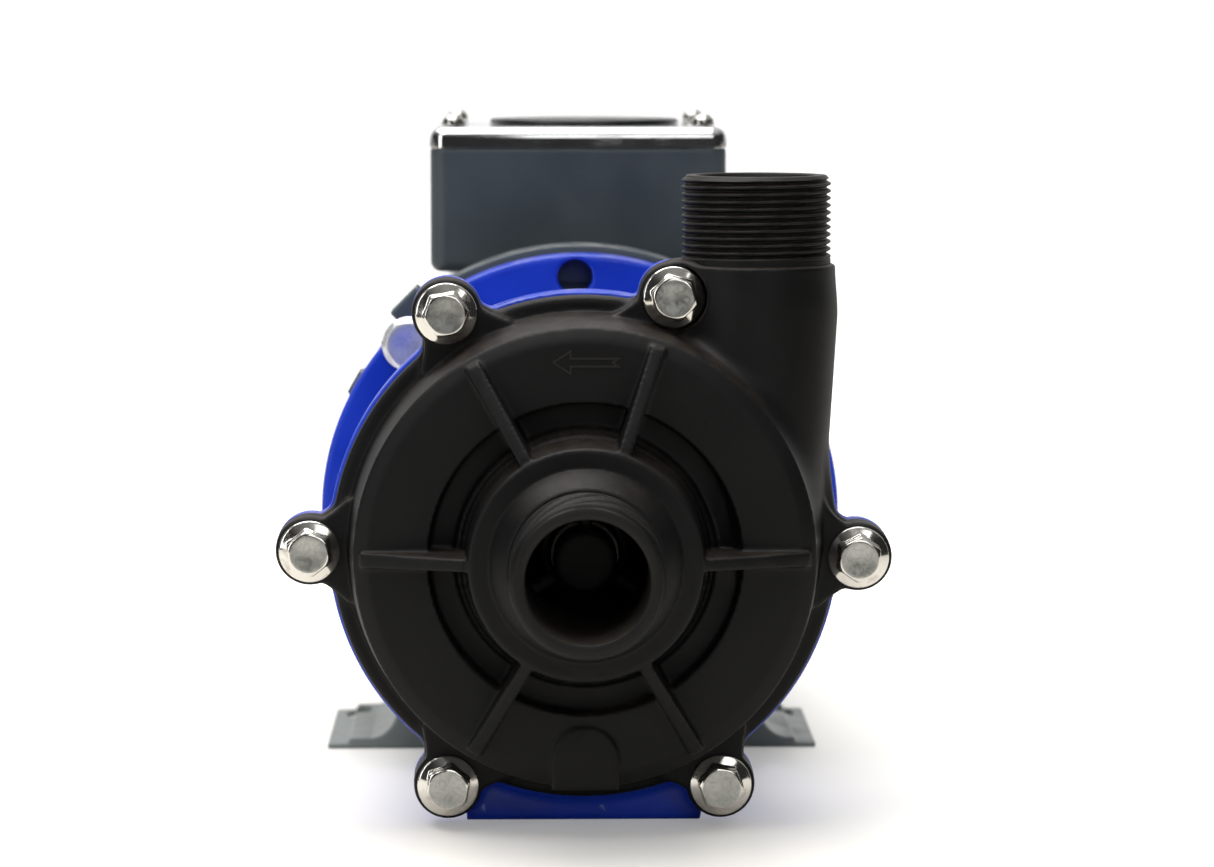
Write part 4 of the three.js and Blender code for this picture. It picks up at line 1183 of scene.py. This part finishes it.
def closed_skin(name, loops):
    """A skin over loops of equal length, the last joined back to the first."""
    n, rows = len(loops[0]), len(loops)
    row, j = np.meshgrid(np.arange(rows), np.arange(n), indexing="ij")
    ahead, around = (row + 1) % rows, (j + 1) % n
    quads = [row * n + j, row * n + around, ahead * n + around, ahead * n + j]
    faces = np.stack(quads, axis=2).reshape(-1, 4)
    return shade_by_angle(new_object(name, np.concatenate(loops), faces))


def motor_frame():
    low, high = box_mm("motor_frame")
    y0, y1, bevel = low[1], high[1], 0.6
    outline = frame_outline()
    angles = np.arctan2(outline[:, 1], outline[:, 0])
    bore = FRAME_BORE_R * np.column_stack([np.cos(angles), np.sin(angles)])
    stations = ((bore, y1), (inset(outline, bevel), y1), (outline, y1 - bevel), (outline, y0 + bevel),
                (inset(outline, bevel), y0), (bore, y0))
    loops = [np.column_stack([o[:, 0], np.full(len(o), y), o[:, 1]]) for o, y in stations]
    finish_piece(closed_skin("finned_frame", loops), "slate", "motor_frame")


def rear_end_shield():
    high = box_mm("rear_end_shield")[1]
    seat, spigot = high[0], FRAME_BORE_R - 0.3
    shield = turned_object("rear_shield_casting", [
        (11.5, 266.3, 0.3), (26.6, 266.3, 0.3), (26.6, 250, 0.3), (32, 250, 0.6), (32, 264, 1.5),
        (spigot, 264, 0.5), (spigot, 262.3, 0.3), (seat, 262.3, 0.8), (seat, 269, 2), (seat - 3, high[1], 1),
        (11.5, high[1], 0.5),
    ], 128)
    finish_piece(shield, "slate", "rear_end_shield")


COWL_SLOTS = 12
COWL_SLOT_HALF = 3.0
COWL_SLOT_SPAN = (22.0, 66.0)
COWL_WALL = 1.6


def slot_half_width(radius):
    """Half the width of a cowl slot at a radius, with round ends."""
    start, end = COWL_SLOT_SPAN
    into_end = max(start + COWL_SLOT_HALF - radius, radius - end + COWL_SLOT_HALF, 0)
    if into_end >= COWL_SLOT_HALF:
        return COWL_SLOT_HALF * 0.06 if start - 0.01 <= radius <= end + 0.01 else COWL_SLOT_HALF
    return max(math.sqrt(COWL_SLOT_HALF ** 2 - into_end ** 2), COWL_SLOT_HALF * 0.06)


def cowl_rings():
    """The rings of the cowl's sheet as (radius, y), from its open edge to the middle of its back."""
    low, high = box_mm("fan_cowl")
    radius, start, end, corner = high[0], low[1], high[1], 8.5
    rings = [(radius, y) for y in (start, start + 1.5, start + 12, end - 22, end - corner - 1.5)]
    for angle in np.linspace(0, 90, 9):
        a = math.radians(angle)
        rings.append((radius - corner + corner * math.cos(a), end - corner + corner * math.sin(a)))
    s0, s1 = COWL_SLOT_SPAN
    ends = [s1 - COWL_SLOT_HALF * (1 - math.cos(math.radians(a))) for a in (0, 30, 60, 90)]
    starts = [s0 + COWL_SLOT_HALF * (1 - math.cos(math.radians(a))) for a in (90, 60, 30, 0)]
    flat = [74.5, 73, 71.5, 70, 68.5, s1 + 1, *ends, 56, 50, 44, 38, 32, *starts, s0 - 1, 17, 12, 7, 3]
    bead = {73: -0.5, 71.5: -1.0, 70: -0.5}
    return rings + [(r, end + bead.get(r, 0)) for r in flat]


def fan_cowl():
    """Spun sheet cowl with radial slots in its back."""
    step_share = (-1.0, -0.5, 0.0, 0.5, 1.0)
    sector = 360 / COWL_SLOTS
    between = np.linspace(0, 1, 7)[1:-1]
    vertices, per_ring = [], COWL_SLOTS * (len(step_share) + len(between))
    rings = cowl_rings()
    for radius, y in rings:
        half = min(math.degrees(math.asin(min(slot_half_width(radius) / radius, 0.99))), 0.4 * sector)
        for k in range(COWL_SLOTS):
            gap = sector - 2 * half
            angles = [s * half for s in step_share] + [half + t * gap for t in between]
            for a in angles:
                turn = math.radians(k * sector + a)
                vertices.append((radius * math.cos(turn), y, radius * math.sin(turn)))
    vertices.append((0, rings[-1][1], 0))
    faces = []
    for row in range(len(rings) - 1):
        r0, r1 = rings[row][0], rings[row + 1][0]
        is_slotted = min(r0, r1) >= COWL_SLOT_SPAN[0] - 0.01 and max(r0, r1) <= COWL_SLOT_SPAN[1] + 0.01
        for j in range(per_ring):
            if is_slotted and j % (per_ring // COWL_SLOTS) < len(step_share) - 1:
                continue
            ahead = (j + 1) % per_ring
            faces.append([row * per_ring + j, (row + 1) * per_ring + j,
                          (row + 1) * per_ring + ahead, row * per_ring + ahead])
    last = (len(rings) - 1) * per_ring
    faces += [[last + j, len(vertices) - 1, last + (j + 1) % per_ring] for j in range(per_ring)]
    cowl = new_object("cowl_sheet", *drop_loose(np.array(vertices), faces))
    thick = cowl.modifiers.new("sheet", "SOLIDIFY")
    thick.thickness = COWL_WALL * MM
    thick.offset = -1
    finish_piece(cowl, "slate", "fan_cowl")


def motor_foot(node, side):
    """A pressed foot: a flat plate on the floor with a slot, and a web that rises to the frame."""
    low, high = box_mm(node)
    front, back = low[1], high[1]
    end = high[0] if side > 0 else -low[0]
    bend = (74, FLOOR + 3.8), (67, FLOOR + 5), (65, FLOOR + 12)
    curve = [quadratic(*bend, t) for t in np.linspace(0, 1, 7)]
    outline = [(end, FLOOR), (end, FLOOR + 1.7), (end - 7.2, FLOOR + 1.9), (end - 7.8, FLOOR + 3.8), *curve,
               (62.2, -52), (53.8, -60), (45.4, -66), (42, FLOOR)]
    grid = Grid((40, front - 2, FLOOR - 2), (end + 2, back + 2, -50), 0.5)
    grid.add(across_shape(grid, outline, front, back, edge=0.6))
    inside = np.abs(grid.y - (front + back) / 2) - (back - front) / 2 + 8
    arch = np.maximum(np.maximum(np.abs(grid.x - 53.5) - 6.5, grid.z + 79), inside)
    grid.cut(arch, 1.5)
    near = grid.window((end - 18, back - 24, FLOOR - 2), (end, back, FLOOR + 8))
    slot = np.hypot(near.x - end + 9, np.maximum(np.abs(near.y - back + 12) - 2.5, 0)) - 4.5
    near.cut(np.broadcast_to(slot, near.distance.shape), 0.4)
    grid.cut(bar_shape(grid, 0, 0, FIN_R + 0.5, front - 9, back + 9, edge=0), 0.3)
    vertices, faces = surface_of(grid)
    foot = new_object(f"{node}_casting", vertices * (side, 1, 1), faces if side > 0 else faces[:, ::-1])
    finish_piece(foot, "foot", node)


def rating_plate():
    """A blank data plate held by four rivets, on the upper left side of the frame."""
    middle = centre_mm("rating_plate")
    angle = math.degrees(math.atan2(middle[2], middle[0]))
    y0, y1 = box_mm("rating_plate")[0][1], box_mm("rating_plate")[1][1]
    seat, top, half = RAIL_R + 0.3, RAIL_R + 1.1, 14.0
    grid = Grid((seat - 2, y0 - 2, -half - 2), (top + 2.5, y1 + 2, half + 2), 0.3)
    flat = np.maximum(np.abs(grid.y - (y0 + y1) / 2) - (y1 - y0) / 2, np.abs(grid.z) - half)
    grid.add(rounded_pair(flat, np.abs(grid.x - (seat + top) / 2) - (top - seat) / 2, 0.15))
    for row in range(5):
        rule = np.maximum(np.abs(grid.z - 8 + 4 * row) - 0.25, np.abs(grid.y - (y0 + y1) / 2) - 19)
        grid.cut(np.maximum(rule, top - 0.25 - grid.x), 0.1)
    for y in (y0 + 4, y1 - 4):
        for z in (-10.5, 10.5):
            rivet = np.sqrt((grid.y - y) ** 2 + (grid.z - z) ** 2 + (2.2 * (grid.x - top)) ** 2) - 1.8
            grid.add(rivet / 1.5, 0.15)
    plate = placed("data_plate", surface_of(grid), turn_about_shaft(angle), (0, 0, 0))
    finish_piece(plate, "aluminium", "rating_plate")

# ---- Terminal box ----

BOX_CORNER = 6.0
BOX_WALL = 3.0


def rounded_square(side, corner):
    """Points round a square with round corners, centred on the origin."""
    reach = side / 2 - corner
    centres = ((reach, reach), (-reach, reach), (-reach, -reach), (reach, -reach))
    parts = [arc(x, y, corner, start, start + 90, 8)
             for (x, y), start in zip(centres, (0, 90, 180, 270))]
    return np.concatenate(parts)


def square_distance(grid, middle, side, corner):
    """Distance to an upright square prism with round corners, centred at x, y."""
    a = np.abs(grid.x - middle[0]) - side / 2 + corner
    b = np.abs(grid.y - middle[1]) - side / 2 + corner
    return np.minimum(np.maximum(a, b), 0) + np.hypot(np.maximum(a, 0), np.maximum(b, 0)) - corner


def terminal_box():
    low, high = box_mm("terminal_box")
    middle, side = (low + high) / 2, high[0] - low[0]
    top = high[2]
    grid = Grid(low - 3, high + 3, MOTOR_STEP)
    outside = rounded_pair(square_distance(grid, middle, side, BOX_CORNER), low[2] - grid.z, 3.5)
    grid.add(np.maximum(outside, grid.z - top))
    hollow = rounded_pair(square_distance(grid, middle, side - 2 * BOX_WALL, 4), 97 - grid.z, 2)
    posts = np.full(grid.distance.shape, 60.0, np.float32)
    for i in range(1, 5):
        x, y = centre_mm(f"lid_screw_{i}")[:2]
        posts = np.minimum(posts, np.hypot(grid.x - x, grid.y - y) - 6.4)
    grid.cut(np.maximum(hollow, -posts), 1.0)
    gland = centre_mm("cable_gland")
    hole = np.maximum(np.hypot(grid.x - gland[0], grid.z - gland[2]) - 10.4, middle[1] + 39 - grid.y)
    grid.cut(np.broadcast_to(hole, grid.distance.shape), 0.4)
    grid.cut(bar_shape(grid, 0, 0, FIN_R + 0.7, 90, 270, edge=0), 0.8)
    box = field_object("terminal_box_casting", grid, keep=0.5)
    finish_piece(box, "slate", "terminal_box")


def box_lid():
    """A polished cover: rounded upper edge, straight rim on the box, and its hollow round the gasket."""
    low, high = box_mm("box_lid")
    side, bottom, top = high[0] - low[0], low[2], high[2]
    gasket_low, gasket_high = box_mm("box_gasket")
    room = (side - gasket_high[0] + gasket_low[0]) / 2 - CONTACT_GAP
    bevel, lip = 4.0, 0.3
    stations = [(room, gasket_high[2] + CONTACT_GAP), (room, bottom), (lip, bottom), (0, bottom + lip)]
    for angle in np.linspace(0, 90, 10):
        a = math.radians(angle)
        stations.append((bevel * (1 - math.cos(a)), top - bevel + bevel * math.sin(a)))
    stations += [(bevel + 0.6, top), (bevel + 1.4, top)]
    middle = (low + high) / 2
    loops = []
    for inward, z in stations:
        corner = max(6.5 - inward, 1.5)
        outline = rounded_square(side - 2 * inward, corner) + middle[:2]
        loops.append(np.column_stack([outline, np.full(len(outline), z)]))
    lid = lofted_object("polished_cover", loops)
    finish_piece(lid, "polished", "box_lid")


def lid_disc():
    low, high = box_mm("lid_disc")
    middle = (low + high) / 2
    radius, z0, z1 = (high[0] - low[0]) / 2, low[2], high[2]
    disc = turned_object("cover_disc", [(0, z0, 0), (radius, z0, 0.2), (radius, z1, 0.7), (0, z1, 0)],
                         160, (middle[0], middle[1], 0), "z")
    finish_piece(disc, "disc", "lid_disc")


def cable_gland():
    """A cable gland through the rear of the box: hexagonal body and domed nut."""
    low, high = box_mm("cable_gland")
    middle = (low + high) / 2
    wall = high[1] - 25
    grid = Grid((-16, -27, -16), (16, 14, 16), 0.35)
    grid.add(hex_head(grid, 13.8 * math.sqrt(3), -9, 0, dish=0.3))
    dome = rounded_pair(hexagon(grid, 22.4), np.abs(grid.y + 14) - 4, 0.6)
    grid.add(np.maximum(dome, np.hypot(grid.x, grid.z) - 12))
    grid.add(turned_shape(grid, filleted([
        (-20, 12, 0), (9.9, 12, 0.5), (9.9, -8, 0), (11.3, -8, 0), (11.3, -19, 3), (8.2, -25, 1.2),
        (-20, -25, 0),
    ])), 0.3)
    grid.cut(bar_shape(grid, 0, 0, 5, -40, 40, edge=0), 0.8)
    turn_round = np.diag([-1, -1, 1])
    gland = placed("gland_body", surface_of(grid), turn_round, (middle[0], wall, middle[2]))
    finish_piece(gland, "plastic", "cable_gland")

# ---- Inside the pump and the motor ----

INNER_STEP = 0.8


def turned_piece(node, corners, look, body=ROOT_BODY, segments=96):
    """A turned piece about the shaft that stands for a CAD node."""
    thing = turned_object(f"{node}_fine", corners, segments)
    return finish_piece(thing, look, node, body=body)


def tube_corners(inner, outer, y0, y1, edge=0.4):
    return [(inner, y0, edge), (outer, y0, edge), (outer, y1, edge), (inner, y1, edge)]


def tube_of(node, inner, look, body=ROOT_BODY, edge=0.4, segments=96):
    """A plain ring with the CAD node's own ends and outer radius."""
    low, high = box_mm(node)
    corners = tube_corners(inner, high[0], low[1], high[1], edge)
    return turned_piece(node, corners, look, body, segments)


def wet_parts():
    """The containment can, the spindle and the rings inside the casing."""
    turned_piece("containment_can", [
        (0, 25, 0), (7.3, 25, 0.3), (7.3, 17.5, 0.3), (11, 17.5, 0.5), (11, 26.5, 1), (33, 26.5, 1),
        (35, 24.5, 1), (35, -4, 1), (60, -4, 1), (62, -6, 0.5), (68, -6, 0.3), (68, -3, 0.3),
        (72.6, -3, 0.3), (72.6, -6, 0.3), (75.7, -6, 0.4), (75.7, 0, 0.3), (37.5, 0, 0.5), (37, 0.5, 0.2),
        (37, 27.5, 1.2), (35, 29.5, 1.2), (0, 29.5, 0),
    ], "plastic", segments=128)
    section = [(*point, 0) for point in arc(70.3, -4.6, 1.4, 0, 345, 24)]
    turned_piece("casing_o_ring", section, "rubber", segments=160)
    turned_piece("spindle", [(0, -51.7, 0), (7, -51.7, 0.6), (7, 24.7, 0.6), (0, 24.7, 0)],
                 "ceramic", segments=64)
    for node in ("front_thrust_ring", "rear_thrust_ring"):
        tube_of(node, 7.3, "ceramic", edge=0.3, segments=64)


VANE_COUNT = 6


def vane_outline():
    """A vane that curves back against the turn, with its root towards +X and round ends."""
    leading, trailing = [], []
    for t in np.linspace(0, 1, 9):
        radius, angle = 24 + 30 * t, math.radians(-60 * t)
        lean = 1.8 / radius
        leading.append((radius * math.cos(angle + lean), radius * math.sin(angle + lean)))
        trailing.insert(0, (radius * math.cos(angle - lean), radius * math.sin(angle - lean)))
    return np.array(leading + trailing)


def runner_parts():
    """The impeller with its shroud, bush and magnets, all turning on the spindle."""
    grid = Grid((-58, -35, -58), (58, -1, 58), 0.7)
    grid.add(turned_shape(grid, filleted([
        (11.3, -4.3, 0.3), (30, -4.3, 0.4), (30, -7, 0.6), (55, -7.5, 0.5), (55, -10, 0.5), (24, -12, 8),
        (15, -20, 6), (14, -32, 0.8), (11.3, -32, 0.3),
    ])))
    for k in range(VANE_COUNT):
        outline = turned_outline(vane_outline(), 360 / VANE_COUNT * k)
        grid.add(across_shape(grid, outline, -22, -9, edge=0.3), 1.2)
    impeller = field_object("impeller_moulding", grid)
    finish_piece(impeller, "plastic", "impeller", body=RUNNER_BODY)
    turned_piece("impeller_shroud", [
        (20.5, -37.5, 0.4), (22.7, -37.5, 0.4), (22.7, -28, 1.5), (26, -25, 2), (55, -24.3, 0.5),
        (55, -22.3, 0.5), (24, -22.3, 2), (20.5, -24, 1),
    ], "plastic", RUNNER_BODY, 128)
    turned_piece("inner_magnet_capsule", [
        (11.3, -4, 0.3), (33.5, -4, 0.5), (34, -3.5, 0.2), (34, 24, 0.3), (32.8, 24, 0.3), (32.8, 0, 0.2),
        (26.7, 0, 0.2), (26.7, 24, 0.3), (25, 24, 0.3), (25, 2, 1.5), (14.5, 2, 1.5), (14.5, 15.5, 0.4),
        (11.3, 15.5, 0.3),
    ], "plastic", RUNNER_BODY)
    tube_of("mouth_ring", 23, "carbon", RUNNER_BODY)
    tube_of("inner_magnet_ring", 27, "magnet", RUNNER_BODY)
    tube_of("impeller_bush", 7.3, "carbon", RUNNER_BODY, 0.3, 64)


def drive_hub():
    """The yoke that carries the drive magnets, keyed to the motor shaft."""
    low, high = box_mm("drive_hub")
    grid = Grid(np.array(low) - 3, np.array(high) + 3, INNER_STEP)
    grid.add(turned_shape(grid, filleted([
        (12.3, 31.5, 0.3), (46.3, 31.5, 0.4), (46.3, 3, 0.5), (52, 3, 0.8), (52, 40, 1), (50, 42, 1),
        (22, 44, 3), (22, 72, 0.8), (12.3, 72, 0.4),
    ])))
    keyway = np.maximum(np.abs(grid.x) - 4.3, np.abs(grid.z - 7.6) - 7.6)
    grid.cut(np.broadcast_to(keyway, grid.distance.shape), 0.2)
    hole = np.maximum(np.hypot(grid.x, grid.y - 62) - 3.3, grid.z + 5)
    grid.cut(hole, 0.2)
    hub = field_object("drive_hub_turning", grid)
    finish_piece(hub, "iron", "drive_hub", body=ROTOR_BODY)
    tube_of("drive_magnet_ring", 38.3, "magnet", ROTOR_BODY)


def motor_shaft():
    grid = Grid((-18, 29, -18), (18, 305, 18), 0.7)
    grid.add(turned_shape(grid, filleted([
        (-60, 32, 0), (12, 32, 0.9), (12, 84, 0), (12.5, 85, 0), (12.5, 102, 0.2), (15, 104, 0.3),
        (15, 248, 0.3), (12.5, 250, 0.3), (12.5, 265.4, 0.3), (9.7, 265.9, 0), (9.7, 302, 0.9),
        (-60, 302, 0),
    ])))
    keyway = np.maximum(np.maximum(np.abs(grid.x) - 4.2, 7.7 - grid.z), np.abs(grid.y - 52) - 14.2)
    grid.cut(keyway, 0.2)
    shaft = field_object("motor_shaft_turning", grid)
    finish_piece(shaft, "steel", "motor_shaft", body=ROTOR_BODY)


def windings():
    """Stator and rotor cores, and the wound copper on either side of the stator."""
    tube_of("stator_core", 52, "laminations", ROOT_BODY, 0.3, 128)
    tube_of("rotor_core", 15.3, "laminations", ROTOR_BODY, 0.3, 128)
    for node, outward in (("front_winding", -1), ("rear_winding", 1)):
        low, high = box_mm(node)
        near, far = (high[1], low[1]) if outward < 0 else (low[1], high[1])
        turned_piece(node, [
            (56, near, 0.5), (57, far - 2 * outward, 3), (66, far, 4), (74, far - 2 * outward, 3),
            (75, near, 0.5),
        ], "copper", segments=160)


def ball_bearing(end, cage_body):
    """Outer and inner rings with grooved races, and seven balls in their cage."""
    low, high = box_mm(f"{end}_bearing_outer")
    y0, y1 = low[1], high[1]
    middle, race_r, ball_r, balls = (y0 + y1) / 2, 19.1, 2.2, 7
    turned_piece(f"{end}_bearing_outer", tube_corners(22, 26, y0, y1, 0.8), "steel")
    turned_piece(f"{end}_bearing_inner", tube_corners(12.8, 16.2, y0, y1, 0.6), "steel", ROTOR_BODY)
    half_circle = [(ball_r * math.sin(a), ball_r * math.cos(a)) for a in np.linspace(0, math.pi, 17)]
    half_circle[0], half_circle[-1] = (0, ball_r), (0, -ball_r)
    vertices, faces = turned_mesh(filleted(tube_corners(18.5, 19.7, middle - 0.8, middle + 0.8, 0.2), 2), 96)
    faces = [list(f) for f in faces]
    for k in range(balls):
        turn = turn_about_shaft(360 / balls * k)
        one, one_faces = drop_loose(*turned_mesh(half_circle, 24))
        faces += [[i + len(vertices) for i in f] for f in one_faces]
        vertices = np.concatenate([vertices, (one + (race_r, middle, 0)) @ turn.T])
    cage = shade_by_angle(new_object(f"{end}_cage_and_balls", vertices, faces))
    finish_piece(cage, "steel", f"{end}_bearing_balls", body=cage_body)


def cooling_fan():
    low, high = box_mm("cooling_fan")
    grid = Grid(low - 3, high + 3, INNER_STEP)
    grid.add(turned_shape(grid, filleted([
        (10, 275.5, 0.3), (76, 275.5, 1), (high[0], 277.5, 0.5), (high[0], 278.5, 0.5), (16, 278.5, 4),
        (16, high[1], 1), (10, high[1], 0.3),
    ])))
    for k in range(8):
        a = math.radians(45 * k)
        out, side = grid.x * math.cos(a) + grid.z * math.sin(a), grid.z * math.cos(a) - grid.x * math.sin(a)
        length = np.maximum(np.abs(out - 46.5) - 31.5, np.abs(grid.y - 288.5) - 10.5)
        grid.add(rounded_pair(np.abs(side) - 1.2 + 0 * grid.y, length, 0.6), 1.5)
    fan = field_object("cooling_fan_moulding", grid)
    finish_piece(fan, "plastic", "cooling_fan", body=ROTOR_BODY)


CARRIED_OVER = {
    "hub_set_screw": "steel", "shaft_key": "steel", "box_gasket": "rubber", "terminal_block": "plastic",
}


def carried_over_nodes():
    """CAD nodes that stay as they are, with a procedural material in their own slots."""
    for node, material in CARRIED_OVER.items():
        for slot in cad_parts[node].material_slots:
            slot.material = MATERIALS[material]

# ---- Studio ----

ROOM_DARK = 0.025
BACKDROP_LIGHT = 1.0
CEILING_LIGHT = 0.55


def white_world():
    """White to the camera; otherwise a dark room in front, a white backdrop behind and a bright ceiling."""
    world = bpy.data.worlds.new("studio")
    bpy.context.scene.world = world
    world.use_nodes = True
    tree = world.node_tree
    tree.nodes.clear()
    output = tree.nodes.new("ShaderNodeOutputWorld")
    seen, room = tree.nodes.new("ShaderNodeBackground"), tree.nodes.new("ShaderNodeBackground")
    path, mix = tree.nodes.new("ShaderNodeLightPath"), tree.nodes.new("ShaderNodeMixShader")
    place, split = tree.nodes.new("ShaderNodeTexCoord"), tree.nodes.new("ShaderNodeSeparateXYZ")
    tree.links.new(place.outputs["Generated"], split.inputs["Vector"])
    parts = []
    for axis, low, high, strength in (("Y", 0.3, 0.8, BACKDROP_LIGHT), ("Z", 0.35, 0.9, CEILING_LIGHT)):
        ramp = tree.nodes.new("ShaderNodeMapRange")
        set_range(ramp, low, high, ROOM_DARK, strength)
        tree.links.new(split.outputs[axis], ramp.inputs["Value"])
        parts.append(ramp.outputs["Result"])
    brighter = tree.nodes.new("ShaderNodeMath")
    brighter.operation = "MAXIMUM"
    for part, socket in zip(parts, brighter.inputs):
        tree.links.new(part, socket)
    tree.links.new(brighter.outputs["Value"], room.inputs["Strength"])
    for background in (seen, room):
        background.inputs["Color"].default_value = (1, 1, 1, 1)
    tree.links.new(path.outputs["Is Camera Ray"], mix.inputs["Fac"])
    tree.links.new(room.outputs["Background"], mix.inputs[1])
    tree.links.new(seen.outputs["Background"], mix.inputs[2])
    tree.links.new(mix.outputs["Shader"], output.inputs["Surface"])


# Camera-only floor glow near the pump and far from it; the weaker glow near the pump is painted shade.
FLOOR_GLOW = (0.25, 0.7)
TABLE_EDGE = -750.0


def pale_floor():
    """A pale table that ends in front of the pump; its glow for the camera blends it into the white."""
    n = Nodes("pale_floor")
    grain = n.noise(3, detail=3)
    n.finish(rgb(236, 232, 224), n.range(grain, 0.3, 0.7, 0.4, 0.5), Specular_IOR_Level=0.3)
    path = n.tree.nodes.new("ShaderNodeLightPath")
    away = n.tree.nodes.new("ShaderNodeVectorMath")
    away.operation = "DISTANCE"
    n.link(n.geometry.outputs["Position"], away.inputs[0])
    away.inputs[1].default_value = (0, -0.1, 0)
    # The glow for the camera is weaker near the pump, so the floor round it is painted darker: painted shade
    # round the pump.
    glow_dimmed_near_pump = n.range(away.outputs["Value"], 0.1, 0.5, *FLOOR_GLOW)
    glow = n.math("MULTIPLY", path.outputs["Is Camera Ray"], glow_dimmed_near_pump)
    n.surface.inputs["Emission Color"].default_value = (1, 1, 1, 1)
    n.link(glow, n.surface.inputs["Emission Strength"])
    reach = 30000.0
    edge = ((-reach, TABLE_EDGE), (reach, TABLE_EDGE), (reach, reach), (-reach, reach))
    corners = [(x, y, FLOOR) for x, y in edge]
    floor = new_object("floor", corners, [[0, 1, 2, 3]], smooth=False)
    floor.data.materials.append(n.material)


def softbox(name, place, target, width, height, watts):
    lamp = bpy.data.lights.new(name, "AREA")
    lamp.shape = "RECTANGLE"
    lamp.size, lamp.size_y = width, height
    lamp.energy = watts
    thing = bpy.data.objects.new(name, lamp)
    thing.location = place
    thing.rotation_euler = (Vector(target) - Vector(place)).to_track_quat("-Z", "Y").to_euler()
    bpy.context.scene.collection.objects.link(thing)


def lights():
    middle = (0, -0.05, 0.12)
    softbox("top_light", (-0.3, -0.1, 1.7), middle, 2.0, 1.6, 42)
    softbox("front_light", (0.5, -2.4, 1.1), middle, 1.4, 1.0, 8)
    softbox("left_light", (-1.6, -1.4, 0.7), middle, 0.35, 1.4, 6)


LENS_STOP = 11.0
FOCUS_PLACE = (0.0, -0.147, 0.13)
CAMERA_PLACE = (-0.0178, -1.393, 0.2553)
CAMERA_TURN = (84.2, 0.0, -1.14)


def focus_mark():
    """An empty at the casing's flange that the lens stays focused on, from wherever it looks."""
    mark = bpy.data.objects.new("focus_mark", None)
    mark.location = FOCUS_PLACE
    bpy.context.scene.collection.objects.link(mark)
    return mark


def camera():
    """A long lens in front of the suction nozzle, slightly above the shaft and looking a little down."""
    lens = bpy.data.cameras.new("front_camera")
    lens.lens = 117.87
    lens.sensor_width = 36
    lens.clip_end = 100
    lens.dof.use_dof = True
    lens.dof.focus_object = focus_mark()
    lens.dof.aperture_fstop = LENS_STOP
    thing = bpy.data.objects.new("front_camera", lens)
    thing.location = CAMERA_PLACE
    thing.rotation_euler = tuple(math.radians(a) for a in CAMERA_TURN)
    bpy.context.scene.collection.objects.link(thing)
    bpy.context.scene.camera = thing

# ---- Assembly ----

front_casing()
threaded_tube("discharge_thread", THREAD_START, DISCHARGE_TOP, pointing_up, (DISCHARGE_X, DISCHARGE_Y, 0))
threaded_tube("suction_thread", NOZZLE_ROOT, -NOZZLE_TIP, pointing_forward, (0, 0, 0))
turn_arrow()
casing_bolts()
wet_parts()
runner_parts()

motor_adapter()
adapter_bolts()
drive_hub()

motor_shaft()
windings()
ball_bearing("front", "front_cage")
ball_bearing("rear", "rear_cage")
front_end_shield()
motor_frame()
rear_end_shield()
cooling_fan()
fan_cowl()
cowl_screws()
motor_foot("foot_right", 1)
motor_foot("foot_left", -1)
rating_plate()

terminal_box()
box_lid()
lid_disc()
lid_screws()
cable_gland()
carried_over_nodes()

white_world()
pale_floor()
lights()
camera()
bpy.context.scene.view_settings.view_transform = "Standard"
